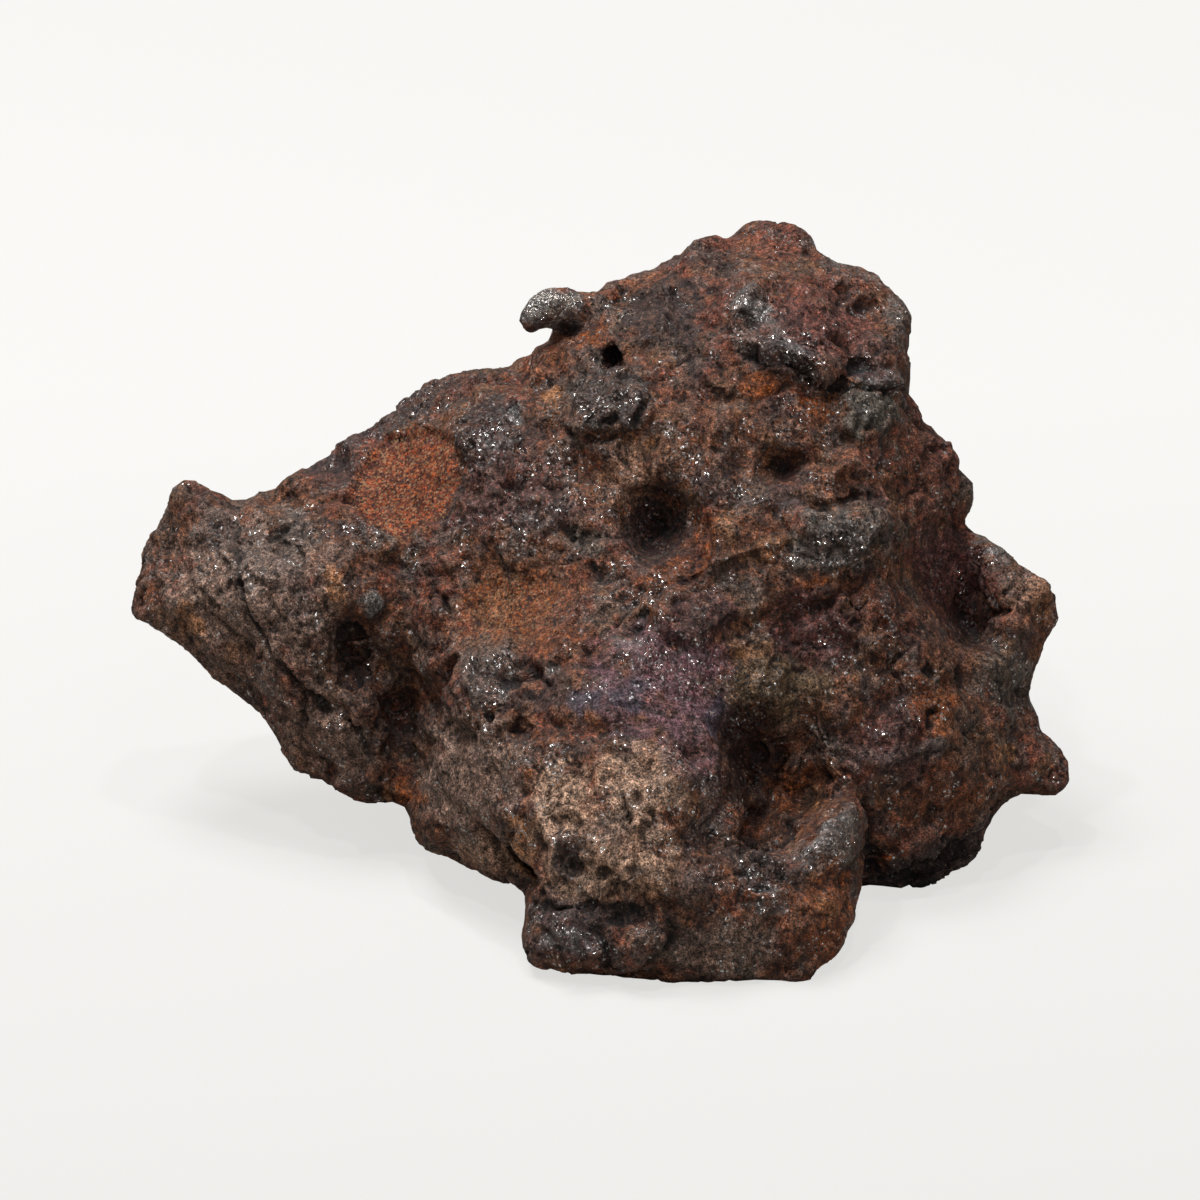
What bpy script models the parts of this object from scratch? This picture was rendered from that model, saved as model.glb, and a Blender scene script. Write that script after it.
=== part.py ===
"""A rusted iron meteorite, one natural piece, about 120 mm across.

Its broad face leans back from the upright, and every position below is (across, up, out)
in millimetres on that leaning face. Overlapping convex boulders give the masses, a voxel
remesh fuses them into one skin, and fingertip hollows are then pressed into it, as the
air's melting presses them into falling iron. It stands on a small flat at z = 0.
"""

import math

import bmesh
import bpy
import numpy as np
from mathutils import Matrix, Vector, noise
from mathutils.bvhtree import BVHTree

MM = 0.001
LEAN = math.radians(24)          # how far the broad face leans back from the upright
FLOOR_OUT = 33.6                 # how far out the front foot's edge meets the floor, mm
MIDDLE = (0.1, 15.7)             # the middle of the footprint: across and towards the back, mm
VOXEL = 1.1                      # grid of the fused blank, mm
SOFTEN_BLANK = 6                 # rounds that wear down the boulders' edges
SOFTEN_LAST = 1                  # rounds that settle the roughened skin
FINGER_REACH = 1.5               # how deep a hollow's soft edge reaches, in its radii
FINGER_EDGE = 1.5                # how softly a hollow's floor rises to its rim
FAR_OUTSIDE = 200                # where each finger starts from, mm
ROUGH_SIZE = 11                  # size of the skin's broad lumps, mm
ROUGH_LIFT = 0.9                 # height of those lumps, mm
ROUGH_OCTAVES = 4
ROUGH_DIMENSION = 0.9            # how fast the smaller octaves fade
ROUGH_LACUNARITY = 2.1           # how much smaller each octave is than the last
MOST_TRIANGLES = 10500
CUT_MERGE = 1e-7                 # nearest two points of the standing cut may be, m

RUST_BROWN = (0.085, 0.042, 0.028, 1)
CRUST_ROUGHNESS = 0.55
CRUST_METALLIC = 0.3

# Convex boulders, each a list of its corners: (across, up, out) in mm.
BOULDERS = {
    "core": [
        (-24, 56, 5), (-10, 70, 9), (12, 78, 9), (28, 76, 9), (42, 60, 4), (44, 40, 7),
        (40, 24, 6), (30, 18, 13), (12, 17, 22), (-14, 19, 14), (-24, 28, 4), (-29, 46, 5),
        (-24, 58, -22), (0, 76, -28), (26, 80, -28), (44, 58, -26), (46, 38, -26),
        (40, 26, -22), (5, 28, -30), (-18, 28, -24), (-30, 44, -18),
    ],
    "snout": [
        (-54.3, 64.3, -3), (-46, 60.3, 1), (-38, 58.4, 5), (-30, 57, 9), (-22, 54, 9),
        (-60, 49.5, -5), (-58.5, 45.8, -4), (-58, 56, -5),
        (-50, 38.5, -1), (-44.5, 35.5, 0), (-32, 23.5, 3), (-24, 22.3, 5),
        (-46, 50, 8), (-37, 48, 11), (-30, 34, 9), (-41, 40, 9),
        (-54, 60, -12), (-57, 48, -13), (-48, 41, -14), (-38, 32, -16), (-26, 27, -20),
        (-40, 58.4, -14), (-25, 58, -20),
    ],
    "snout_chin": [
        (-44, 35, 1), (-42, 31.5, 1), (-40, 28, 0), (-36, 25.8, 1), (-32, 23.4, 2),
        (-36, 34, 8), (-32, 30, 8), (-40, 34, -10), (-34, 28, -10),
    ],
    "snout_lip": [
        (-60.4, 49, -4), (-60, 46.8, -4), (-56, 44.6, -2), (-53, 42.5, -1), (-52, 48, 4),
        (-57, 52, 0), (-54, 46, -10),
    ],
    "west_ridge": [
        (-46, 60.6, -4), (-41, 61.6, -5), (-36, 64.4, -8), (-30, 68.8, -10), (-24, 73.6, -12),
        (-19, 78, -12), (-9, 79.6, -12),
        (-38, 60, 2), (-30, 58, 7), (-18, 58, 11), (-14, 66, 8), (-8, 73, 7), (-6, 60, 12),
        (-40, 56, -16), (-28, 62, -24), (-14, 68, -28), (-4, 74, -26),
    ],
    "west_crag": [
        (-21, 77, -10), (-17.5, 79.4, -9), (-13, 78.6, -7), (-14, 72, 8), (-9, 71, 9),
        (-18, 66, 9), (-10, 66, 11), (-16, 74, -16),
    ],
    "neck": [
        (-7.6, 83.4, -2), (-8.5, 80, -6), (0, 88, -4), (3, 90, -6), (9, 92.6, -9),
        (15, 96, -9), (1, 82, 5), (8, 79, 9), (15, 82, 10), (10, 89, 2), (-9, 76, 4),
        (3, 72, 13), (17, 72, 14),
        (16, 88, 5),
        (-4, 78, -24), (6, 86, -24), (18, 92, -22), (14, 72, -28),
    ],
    "crown": [
        (15, 94.5, -8), (18, 96, -10), (30, 92.5, -9), (34, 91.5, -8), (38, 88, -4),
        (40.6, 86.3, -2), (40.6, 83, -1), (17.5, 87.5, 7), (16.5, 82, 12), (17, 77, 14),
        (22, 77.5, 16), (27, 75.5, 15), (31, 76.5, 12), (39.5, 77, 3), (30, 87, 4), (24, 90, 1),
        (14, 80, -10), (20, 92, -26), (32, 88, -26), (40, 82, -18), (38, 74, -22),
        (22, 74, -28),
    ],
    "summit": [
        (19, 96, -8), (20.5, 98.2, -10), (24, 98, -10), (27, 96.6, -9), (28.5, 93, -7),
        (22, 92, -2), (24, 92, -18), (18, 92, -14),
    ],
    "brow": [
        (31, 78, 11), (35, 78.5, 8), (40.4, 77, 3), (40.5, 75.4, 2), (36, 74.5, 9),
        (31, 75, 12), (36, 77, -6), (30, 76, 0),
    ],
    "face": [
        (-16, 66, 9), (-5, 70, 13), (3, 72, 14), (12, 72, 16), (20, 72, 16), (30, 70, 15),
        (36, 60, 16), (36, 52, 18), (28, 50, 20), (18, 50, 21), (10, 50, 22), (2, 52, 20),
        (-8, 56, 17), (-16, 58, 13), (-10, 62, -5), (30, 62, -5),
    ],
    "nub": [
        (-5, 71, 14), (-3, 77, 11.5), (3, 78, 11.5), (6.8, 74.5, 14), (6.3, 71.5, 16.8),
        (1, 69.5, 16.5), (-2, 72, 16.5), (2, 74, 5),
    ],
    "slab": [
        (21, 53, 20), (24, 59, 20.5), (34, 61, 19), (37.5, 57, 18), (35.5, 51.5, 20),
        (28, 52, 21.5), (30, 56, 5),
    ],
    "under_ledge": [
        (15, 78, 12), (30, 78, 11), (38, 76, 6), (37, 70, 11), (17, 70, 15.5), (24, 74, -5),
        (15, 72, 0), (36, 74, -4),
    ],
    "throat": [
        (-10, 72, 8), (-5, 80, 2), (4, 81, 6), (6, 70, 14), (-8, 64, 12), (-2, 74, -20),
        (-9, 77, -6),
    ],
    "west_slope": [
        (-25, 55, 7), (-16, 59, 12), (-6, 58, 16), (2, 52, 19), (-2, 50, 18), (-14, 46, 16),
        (-22, 41, 12), (-27, 46, 8), (-20, 34, 10), (-10, 50, -5),
    ],
    "recess_floor": [
        (38, 57, 10), (46.5, 59, -3), (50, 53, -2), (51, 42, -1), (46, 40, 5), (40, 42, 10),
        (37, 50, 12), (42, 52, 3), (44, 48, -10),
    ],
    "east_flank": [
        (40.2, 75, 2), (43.2, 70.5, -2), (45.8, 67, -3), (47.8, 64, -4), (48.2, 62, -4),
        (46.6, 60.2, -5), (32, 74, 10), (36, 70, 11), (38, 62, 13), (36, 55, 17),
        (34, 50, 18), (42, 60, 7), (47, 57, -3),
        (38, 72, -22), (46, 62, -20), (46, 50, -22), (24, 74, 13), (20, 60, 17), (22, 50, 19),
    ],
    "shoulder": [
        (-20, 44, 14), (-12, 48, 15), (-2, 52, 18), (10, 52, 20), (20, 52, 19), (22, 46, 18),
        (14, 42, 24), (8, 44, 25.5), (0, 44, 24.5), (-8, 41, 23), (-18, 40, 19), (0, 36, 5),
        (-16, 36, 5),
    ],
    "belly": [
        (-19.5, 40, 19), (-13, 43.5, 19), (-8, 41, 23.5), (0, 44, 24.5), (8, 44, 25.5),
        (15, 41, 23), (15.5, 34, 26), (13, 26, 31), (16, 20, 32), (-17, 31, 24),
        (-8, 30, 31), (0, 30, 34), (8, 28, 35), (-9, 14, 32), (0, 13, 37), (9, 12, 37),
        (-22, 26, 15), (-15, 30, 0), (10, 35, 0), (16, 24, 5),
    ],
    "front_foot": [
        (-9.8, 12, 31), (-9.6, 6, 28), (-8.5, 3, 28), (-4, 2.2, 28), (4, 1.4, 30), (8, 0.9, 31),
        (14, 2.2, 32), (20, 1.0, 32), (9, 10, 36.5), (0, 10.5, 35), (-8, 9, 32), (14, 18, 33),
        (21, 16, 33),
        (24, 13, 32), (16, 10, 35.5), (23, 4, 32), (-6, 6, 34), (0, 5, 35.5),
        (-8, 14, 5), (12, 12, 4), (24, 14, 5), (14, 19, 15), (-8, 18, 10),
    ],
    "foot_corner": [
        (-10.3, 6, 29), (-10, 3.8, 28), (-7, 2, 28), (-3, 3, 32), (-8, 7, 32), (-5, 8, 26),
    ],
    "toe": [
        (22, 1.2, 31.5), (26, 0.8, 31), (28.2, 2.4, 30), (29.9, 6, 28), (32.4, 10.2, 24),
        (33, 14, 22), (29.5, 16, 27), (24, 15, 30), (24, 9, 34), (28, 9, 33.5), (23, 12, 33),
        (33, 17, 6), (24, 14, 5), (31, 9, 15),
    ],
    "knuckle": [
        (23, 15.5, 30), (30.5, 23.5, 23), (32.8, 23, 20), (32.8, 14, 22), (27, 17, 30),
        (30, 20, 27), (22, 14, 18), (33, 20, 4), (27, 24, 12), (20, 20, 16),
    ],
    "gully_side": [
        (13, 42, 23.5), (15.5, 34, 25.5), (14, 26, 29), (16, 19, 31), (22, 22, 21), (25, 32, 16),
        (24, 46, 18), (17, 30, 5), (20, 48, 19),
    ],
    "east_slope": [
        (24, 44, 18), (20, 50, 20), (32, 50, 20), (31, 44, 19), (33, 38, 19), (33, 28, 20),
        (31, 24, 19),
        (26, 26, 15), (22, 38, 15), (26, 34, 2), (34, 30, 2), (36, 46, 4),
    ],
    "east_lobe": [
        (34, 50.5, 19), (37.5, 50.5, 16), (32.5, 44, 20), (32.5, 32, 20), (33.5, 24, 18),
        (33, 15, 12), (36, 15.5, 13), (39, 18, 12), (46, 21, 11), (51, 23.4, 6), (53, 24.5, 4),
        (41, 30, 18), (41, 38, 16), (47, 38, 10), (51, 41, 4), (53, 34, 4), (48, 29, 14),
        (40, 48, -20), (50, 40, -16), (48, 26, -14), (36, 22, -16),
    ],
    "east_horn": [
        (47, 58.6, -3), (50, 56.2, -2), (54, 52.8, -2), (57, 51.2, 0), (59, 49.2, -1),
        (58.8, 46.8, -2), (56.2, 40, -1), (54.8, 35.6, -1), (52, 50, 5), (53, 44, 6),
        (52, 40, 6), (51, 35, 5), (47, 54, -18), (54, 46, -14), (50, 36, -16), (44, 44, -20),
    ],
    "spur": [
        (54.5, 35, -1), (56.6, 32.8, 0), (58.4, 30.8, 0), (60, 28.4, 0), (60.8, 25.2, 0),
        (60.3, 24, 1), (57.5, 23.2, 1), (53, 23.6, 3), (52, 31, 6), (56, 28.5, 4),
        (55, 30, -8), (52, 25, -10), (50, 32, -12), (50, 24, -6),
    ],
    "heel": [
        (33.4, 11.9, 9), (35.8, 10.9, 9.2), (38.6, 11.2, 8.8), (41, 11.8, 7.5), (44.6, 12.2, 7),
        (46.8, 13, 5), (48.4, 14.6, 4), (49.4, 17.8, 1), (50.5, 20.5, 1), (52.5, 23, 1),
        (36, 16, 10), (42, 19, 9), (48, 21, 6),
        (33, 20, -15), (46, 22, -14), (51, 25, -10),
    ],
    "west_lobe": [
        (-24.9, 22, 6), (-24.6, 20.5, 6), (-22.5, 17.4, 7), (-18, 14.7, 8), (-14.5, 13.4, 9),
        (-10, 12.2, 11), (-9, 12, 22), (-15, 19, 21), (-20, 21, 16), (-22, 26, 14),
        (-16, 28, 20), (-22, 24, -12), (-10, 22, -14), (-15, 28, -18),
    ],
    "back_hump": [
        (0, 62, -36), (10, 66, -38), (22, 62, -40), (34, 56, -36), (38, 44, -34), (26, 36, -41),
        (12, 38, -43), (-4, 44, -37), (-10, 54, -34), (15, 78, -30), (30, 74, -30),
        (0, 50, 0), (30, 50, 0),
    ],
    "back_shoulder": [
        (-26, 62, -20), (-14, 68, -30), (-4, 66, -34), (-10, 50, -34), (-24, 48, -27),
        (-32, 44, -20), (-28, 34, -21), (-12, 36, -30), (-20, 50, 0),
    ],
    "back_saddle": [
        (-8, 70, -30), (4, 72, -34), (8, 58, -39), (-6, 56, -37), (12, 84, -27), (-5, 80, -22),
        (-9, 76, -20), (16, 66, -37), (0, 66, -10), (-16, 64, -29),
    ],
    "back_keel": [
        (8, 84, -27), (20, 86, -30), (30, 80, -29), (24, 68, -36), (10, 70, -35), (18, 76, 0),
    ],
    "back_base": [
        (-8, 32, -28), (4, 30.5, -35), (20, 31, -39), (35, 30.5, -34), (42, 28, -26),
        (14, 42, -42), (38, 42, -34), (-10, 24, -6), (10, 20, -4), (30, 18, -4),
        (-22, 38, -27), (-12, 46, -36), (-4, 42, -38), (-14, 34, -24),
    ],
    "sole": [
        (-8, 8, 14), (10, 4, 20), (24, 4, 20), (33, 10, 6), (34, 18, -16), (10, 18, -16),
        (-8, 18, -14), (0, 26, 10), (28, 22, 10),
    ],
}

# A chain of beads makes the metal prong that hooks out of the stone: (across, up, out, radius).
PRONG = [
    (2, 85.5, -2, 3.2), (-1, 86.6, -0.5, 1.7), (-3.5, 86.9, 0.5, 1.7), (-6, 86.7, 1.5, 2.1),
    (-8.4, 85.6, 2.0, 2.1), (-9.8, 84.3, 2.2, 1.4),
]

# The way a finger comes in to press a hollow, as a direction of (across, up, out).
FROM = {
    "front": (0, 0, -1), "back": (0, 0, 1), "east": (-1, 0, 0), "west": (1, 0, 0),
    "above": (0, -1, 0),
}

# Hollows: side, the point that the finger aims at, its two radii across the aim, depth, mm.
HOLLOWS = [
    ("front", (8, 58, 0), 6.5, 6.5, 6.0),       # the thumbprint in the middle of the face
    ("front", (6.5, 56.5, 0), 3.5, 3.5, 5.0),
    ("front", (22.5, 65, 0), 4.0, 3.0, 4.0),
    ("front", (45, 50, 0), 7.5, 10.0, 5.0),     # the recess behind the east horn
    ("front", (47, 45, 0), 4.0, 5.0, 4.0),
    ("front", (19.5, 27, 0), 6.5, 9.5, 9.0),    # the gully between belly and east lobe
    ("front", (-31.5, 42, 0), 3.2, 6.0, 5.0),   # the slot in the snout
    ("front", (-25, 36, 0), 5.0, 12.0, 4.0),
    ("front", (-25, 63, 0), 8.0, 8.0, 1.5),     # the spalled flat on the west ridge
    ("front", (1.5, 79, 0), 1.8, 2.0, 4.0),
    ("front", (33, 84, 0), 6.0, 4.0, 2.0),
    ("front", (-4, 83, 0), 3.5, 2.2, 3.0),      # under the prong
    ("back", (12, 50, 0), 9.0, 8.0, 7.0),
    ("back", (30, 46, 0), 6.0, 8.0, 5.0),
    ("back", (-14, 56, 0), 7.0, 6.0, 5.0),
    ("back", (20, 74, 0), 7.0, 5.0, 5.0),
    ("back", (-34, 48, 0), 6.0, 6.0, 4.0),
    ("back", (40, 64, 0), 5.0, 7.0, 4.0),
    ("back", (-2, 76, 0), 6.0, 4.0, 3.0),
    ("east", (0, 66, -14), 6.0, 5.0, 4.0),
    ("east", (0, 32, -14), 5.0, 6.0, 4.0),
    ("west", (0, 36, -12), 5.0, 5.0, 3.0),
    ("above", (8, 0, -18), 6.0, 5.0, 4.0),
    ("above", (-22, 0, -18), 7.0, 5.0, 3.0),
]


def leaning_frame():
    """The matrix from (across, up, out) mm on the leaning face to the world, in metres."""
    across = Vector((1, 0, 0))
    up = Vector((0, math.sin(LEAN), math.cos(LEAN)))
    out = Vector((0, -math.cos(LEAN), math.sin(LEAN)))
    turn = Matrix((across, up, out)).transposed().to_4x4()
    middle = Vector((MIDDLE[0], MIDDLE[1], FLOOR_OUT * math.sin(LEAN))) * MM
    return Matrix.Translation(-middle) @ turn @ Matrix.Scale(MM, 4)


def add_boulder(bm, corners):
    """One convex mass of the stone, the hull of its corners."""
    part = bmesh.new()
    for corner in corners:
        part.verts.new(corner)
    hull = bmesh.ops.convex_hull(part, input=part.verts)
    spare = [g for g in hull["geom_interior"] if isinstance(g, bmesh.types.BMVert)]
    bmesh.ops.delete(part, geom=spare, context="VERTS")
    bmesh.ops.recalc_face_normals(part, faces=part.faces)
    mesh = bpy.data.meshes.new("boulder")
    part.to_mesh(mesh)
    part.free()
    bm.from_mesh(mesh)
    bpy.data.meshes.remove(mesh)


def add_bead(bm, across, up, out, radius):
    place = Matrix.Translation((across, up, out))
    bmesh.ops.create_icosphere(bm, subdivisions=3, radius=radius, matrix=place)


def evaluated_copy(obj):
    """The object's mesh with its modifiers applied."""
    graph = bpy.context.evaluated_depsgraph_get()
    return bpy.data.meshes.new_from_object(obj.evaluated_get(graph))


def fused_blank():
    """The boulders and the prong fused into one closed skin, in mm on the leaning face."""
    bm = bmesh.new()
    for corners in BOULDERS.values():
        add_boulder(bm, corners)
    for bead in PRONG:
        add_bead(bm, *bead)
    mesh = bpy.data.meshes.new("blank")
    bm.to_mesh(mesh)
    bm.free()
    blank = bpy.data.objects.new("blank", mesh)
    bpy.context.scene.collection.objects.link(blank)
    remesh = blank.modifiers.new("fuse", "REMESH")
    remesh.mode = "VOXEL"
    remesh.voxel_size = VOXEL
    fused = evaluated_copy(blank)
    bpy.data.objects.remove(blank)
    return fused


def smooth(mesh, rounds):
    """Each round moves every point half way to the middle of its neighbours."""
    bm = bmesh.new()
    bm.from_mesh(mesh)
    for _ in range(rounds):
        bmesh.ops.smooth_vert(
            bm, verts=bm.verts, factor=0.5, use_axis_x=True, use_axis_y=True, use_axis_z=True
        )
    bm.to_mesh(mesh)
    bm.free()


def positions(mesh):
    flat = np.empty(len(mesh.vertices) * 3)
    mesh.vertices.foreach_get("co", flat)
    return flat.reshape(-1, 3)


def set_positions(mesh, points):
    mesh.vertices.foreach_set("co", points.ravel())
    mesh.update()


def press_hollows(mesh):
    """Each hollow lands where a finger meets the stone, and is pushed straight in."""
    points = positions(mesh)
    bm = bmesh.new()
    bm.from_mesh(mesh)
    tree = BVHTree.FromBMesh(bm)
    bm.free()
    for side, target, first, second, depth in HOLLOWS:
        aim = np.array(FROM[side])
        start = Vector(target) - Vector(aim) * FAR_OUTSIDE
        hit = tree.ray_cast(start, Vector(aim))[0]
        radii = np.where(aim != 0, FINGER_REACH * max(first, second), 0.0)
        radii[aim == 0] = first, second
        reach = np.clip(1 - (((points - np.array(hit)) / radii) ** 2).sum(1), 0, None)
        points += np.outer(depth * reach ** FINGER_EDGE, aim)
    set_positions(mesh, points)


def lump(point):
    scaled = Vector(point) / ROUGH_SIZE
    return ROUGH_LIFT * noise.fractal(scaled, ROUGH_DIMENSION, ROUGH_LACUNARITY, ROUGH_OCTAVES)


def roughen(mesh):
    """Broad unevenness of a weathered surface, along the normals."""
    points = positions(mesh)
    normals = np.empty(len(mesh.vertices) * 3)
    mesh.vertices.foreach_get("normal", normals)
    lift = np.array([lump(point) for point in points])
    set_positions(mesh, points + normals.reshape(-1, 3) * lift[:, None])


def thin(mesh, most):
    """Fewer triangles, keeping them where the surface bends."""
    obj = bpy.data.objects.new("thin", mesh)
    bpy.context.scene.collection.objects.link(obj)
    mesh.calc_loop_triangles()
    decimate = obj.modifiers.new("thin", "DECIMATE")
    decimate.ratio = most / len(mesh.loop_triangles)
    decimate.use_collapse_triangulate = True
    result = evaluated_copy(obj)
    bpy.data.objects.remove(obj)
    return result


def drop_crumbs(bm):
    """Keeps the one large piece of a cut mesh."""
    unseen = set(bm.verts)
    pieces = []
    while unseen:
        piece = {unseen.pop()}
        newest = piece
        while newest:
            newest = {e.other_vert(v) for v in newest for e in v.link_edges} & unseen
            unseen -= newest
            piece = piece | newest
        pieces.append(piece)
    pieces.sort(key=len)
    crumbs = [vert for piece in pieces[:-1] for vert in piece]
    bmesh.ops.delete(bm, geom=crumbs, context="VERTS")


def cut_flat(mesh):
    """The stone stands on a flat at z = 0."""
    bm = bmesh.new()
    bm.from_mesh(mesh)
    bmesh.ops.bisect_plane(
        bm,
        geom=bm.verts[:] + bm.edges[:] + bm.faces[:],
        dist=CUT_MERGE,
        plane_co=(0, 0, 0),
        plane_no=(0, 0, 1),
        clear_inner=True,
    )
    drop_crumbs(bm)
    rim = [edge for edge in bm.edges if edge.is_boundary]
    bmesh.ops.edgeloop_fill(bm, edges=rim)
    bmesh.ops.triangulate(bm, faces=bm.faces)
    bmesh.ops.recalc_face_normals(bm, faces=bm.faces)
    bm.to_mesh(mesh)
    bm.free()


def iron_crust():
    material = bpy.data.materials.new("rusted_iron")
    material.use_nodes = True
    shader = material.node_tree.nodes["Principled BSDF"]
    shader.inputs["Base Color"].default_value = RUST_BROWN
    shader.inputs["Roughness"].default_value = CRUST_ROUGHNESS
    shader.inputs["Metallic"].default_value = CRUST_METALLIC
    return material


def build():
    for obj in list(bpy.data.objects):
        bpy.data.objects.remove(obj)
    mesh = fused_blank()
    smooth(mesh, SOFTEN_BLANK)
    press_hollows(mesh)
    roughen(mesh)
    smooth(mesh, SOFTEN_LAST)
    mesh.transform(leaning_frame())
    mesh = thin(mesh, MOST_TRIANGLES)
    cut_flat(mesh)
    mesh.name = "meteorite"
    mesh.materials.clear()
    mesh.materials.append(iron_crust())
    mesh.shade_smooth()
    stone = bpy.data.objects.new("meteorite", mesh)
    bpy.context.scene.collection.objects.link(stone)
    return stone


build()
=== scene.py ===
# %% [markdown]
# # A rusted iron meteorite
#
# This lesson dresses one natural stone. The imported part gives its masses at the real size. Here the
# skin is rebuilt finer, carved with strokes as a sculptor would, painted, and given a rust and crust
# material. Nothing is moved or resized: the finished stone stays inside the part's own box.

# %% Load the part
import math

import bmesh
import bpy
import numpy as np
from mathutils import Matrix, Vector, noise
from mathutils.bvhtree import BVHTree
from mathutils.kdtree import KDTree


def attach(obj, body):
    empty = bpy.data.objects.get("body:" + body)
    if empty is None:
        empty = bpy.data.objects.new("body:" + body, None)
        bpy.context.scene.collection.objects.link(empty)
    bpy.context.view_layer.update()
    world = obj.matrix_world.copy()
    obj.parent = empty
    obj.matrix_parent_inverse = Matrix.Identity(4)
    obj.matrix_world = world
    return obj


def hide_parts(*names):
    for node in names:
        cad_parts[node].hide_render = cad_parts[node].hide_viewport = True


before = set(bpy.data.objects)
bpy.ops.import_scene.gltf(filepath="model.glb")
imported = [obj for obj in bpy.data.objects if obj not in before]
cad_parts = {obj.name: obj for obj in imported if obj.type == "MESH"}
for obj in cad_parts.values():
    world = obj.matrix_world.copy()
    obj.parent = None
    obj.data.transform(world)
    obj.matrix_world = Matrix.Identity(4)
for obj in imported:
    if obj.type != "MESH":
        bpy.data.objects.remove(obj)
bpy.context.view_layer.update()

# %% [markdown]
# ## The leaning face
#
# The broad face leans back 24 degrees, so places on it are easiest to give as (across, up, out) in
# millimetres: across to the right, up along the face, out towards the viewer. All carving and
# painting below happens in that leaning frame, and the mesh is turned back upright at the end.

# %% The leaning frame
MM = 0.001
LEAN = math.radians(24)
FLOOR_OUT = 33.6
MIDDLE = np.array([0.1, 15.7, FLOOR_OUT * math.sin(LEAN)])
AXES = np.array([
    [1, 0, 0],
    [0, math.sin(LEAN), math.cos(LEAN)],
    [0, -math.cos(LEAN), math.sin(LEAN)],
])


def to_leaning(world):
    """World metres to (across, up, out) mm."""
    return (world / MM + MIDDLE) @ AXES.T


def to_world(leaning):
    """(across, up, out) mm to world metres."""
    return (leaning @ AXES - MIDDLE) * MM


# %% [markdown]
# ## A fine skin
#
# A real stone has no large flat facets, so the part's coarse triangles can't show. A copy of them is
# merged, because they come apart as loose triangles, and a voxel remesh lays an even grid of small
# quads over it. A few rounds of averaging then melt the old facets. Subdivision would be
# simpler, but it keeps the long thin triangles, which tear under fine carving.

# %% Remesh a merged copy
GRID = 0.42                      # side of the fine quads, mm
MELT_ROUNDS = 9

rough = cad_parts["meteorite"].data.copy()
rough.transform(Matrix.Scale(1 / MM, 4))
merging = bmesh.new()
merging.from_mesh(rough)
bmesh.ops.remove_doubles(merging, verts=merging.verts, dist=0.001)
bmesh.ops.recalc_face_normals(merging, faces=merging.faces)
merging.to_mesh(rough)
merging.free()


def evaluated_mesh(mesh, kind, weights=None, **settings):
    """The mesh after one modifier, with the points' weights in a vertex group for it."""
    holder = bpy.data.objects.new("holder", mesh)
    bpy.context.scene.collection.objects.link(holder)
    modifier = holder.modifiers.new(kind, kind)
    if weights is not None:
        group = holder.vertex_groups.new(name="weights")
        for weight in np.unique(weights):
            group.add(np.flatnonzero(weights == weight).tolist(), float(weight), "REPLACE")
        modifier.vertex_group = group.name
    for name, value in settings.items():
        setattr(modifier, name, value)
    graph = bpy.context.evaluated_depsgraph_get()
    result = bpy.data.meshes.new_from_object(holder.evaluated_get(graph))
    bpy.data.objects.remove(holder)
    return result


skin = evaluated_mesh(rough, "REMESH", mode="VOXEL", voxel_size=GRID)
print("fine skin", len(skin.vertices), "points")


# %% Read and write the skin as arrays
def read(mesh, name, width=3):
    flat = np.empty(len(mesh.vertices) * width, np.float32)
    mesh.vertices.foreach_get(name, flat)
    return flat.reshape(-1, width).astype(float)


def write(mesh, points):
    mesh.vertices.foreach_set("co", points.astype(np.float32).ravel())
    mesh.update()


def edge_ends(mesh):
    flat = np.empty(len(mesh.edges) * 2, np.int32)
    mesh.edges.foreach_get("vertices", flat)
    return flat.reshape(-1, 2)


def averaged(values, ends, rounds, share=0.5):
    """Each round moves every point's value towards the mean of its neighbours' values."""
    values = np.array(values, float)
    columns = values.reshape(len(values), -1)
    both = np.concatenate([ends, ends[:, ::-1]])
    count = np.bincount(both[:, 0], minlength=len(values))
    for _ in range(rounds):
        for column in range(columns.shape[1]):
            total = np.bincount(both[:, 0], columns[both[:, 1], column], len(values))
            columns[:, column] += share * (total / count - columns[:, column])
    return columns.reshape(values.shape)


ends = edge_ends(skin)
points = to_leaning(read(skin, "co") * MM)
floor_height = to_world(points)[:, 2] / MM
points = averaged(points, ends, MELT_ROUNDS)

# %% [markdown]
# Melting rounds off the corners, and so do the part's coarse triangles. A few places on the outline
# are tugged back to where they belong, through the whole thickness of the stone, by about
# a millimetre each.

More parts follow.
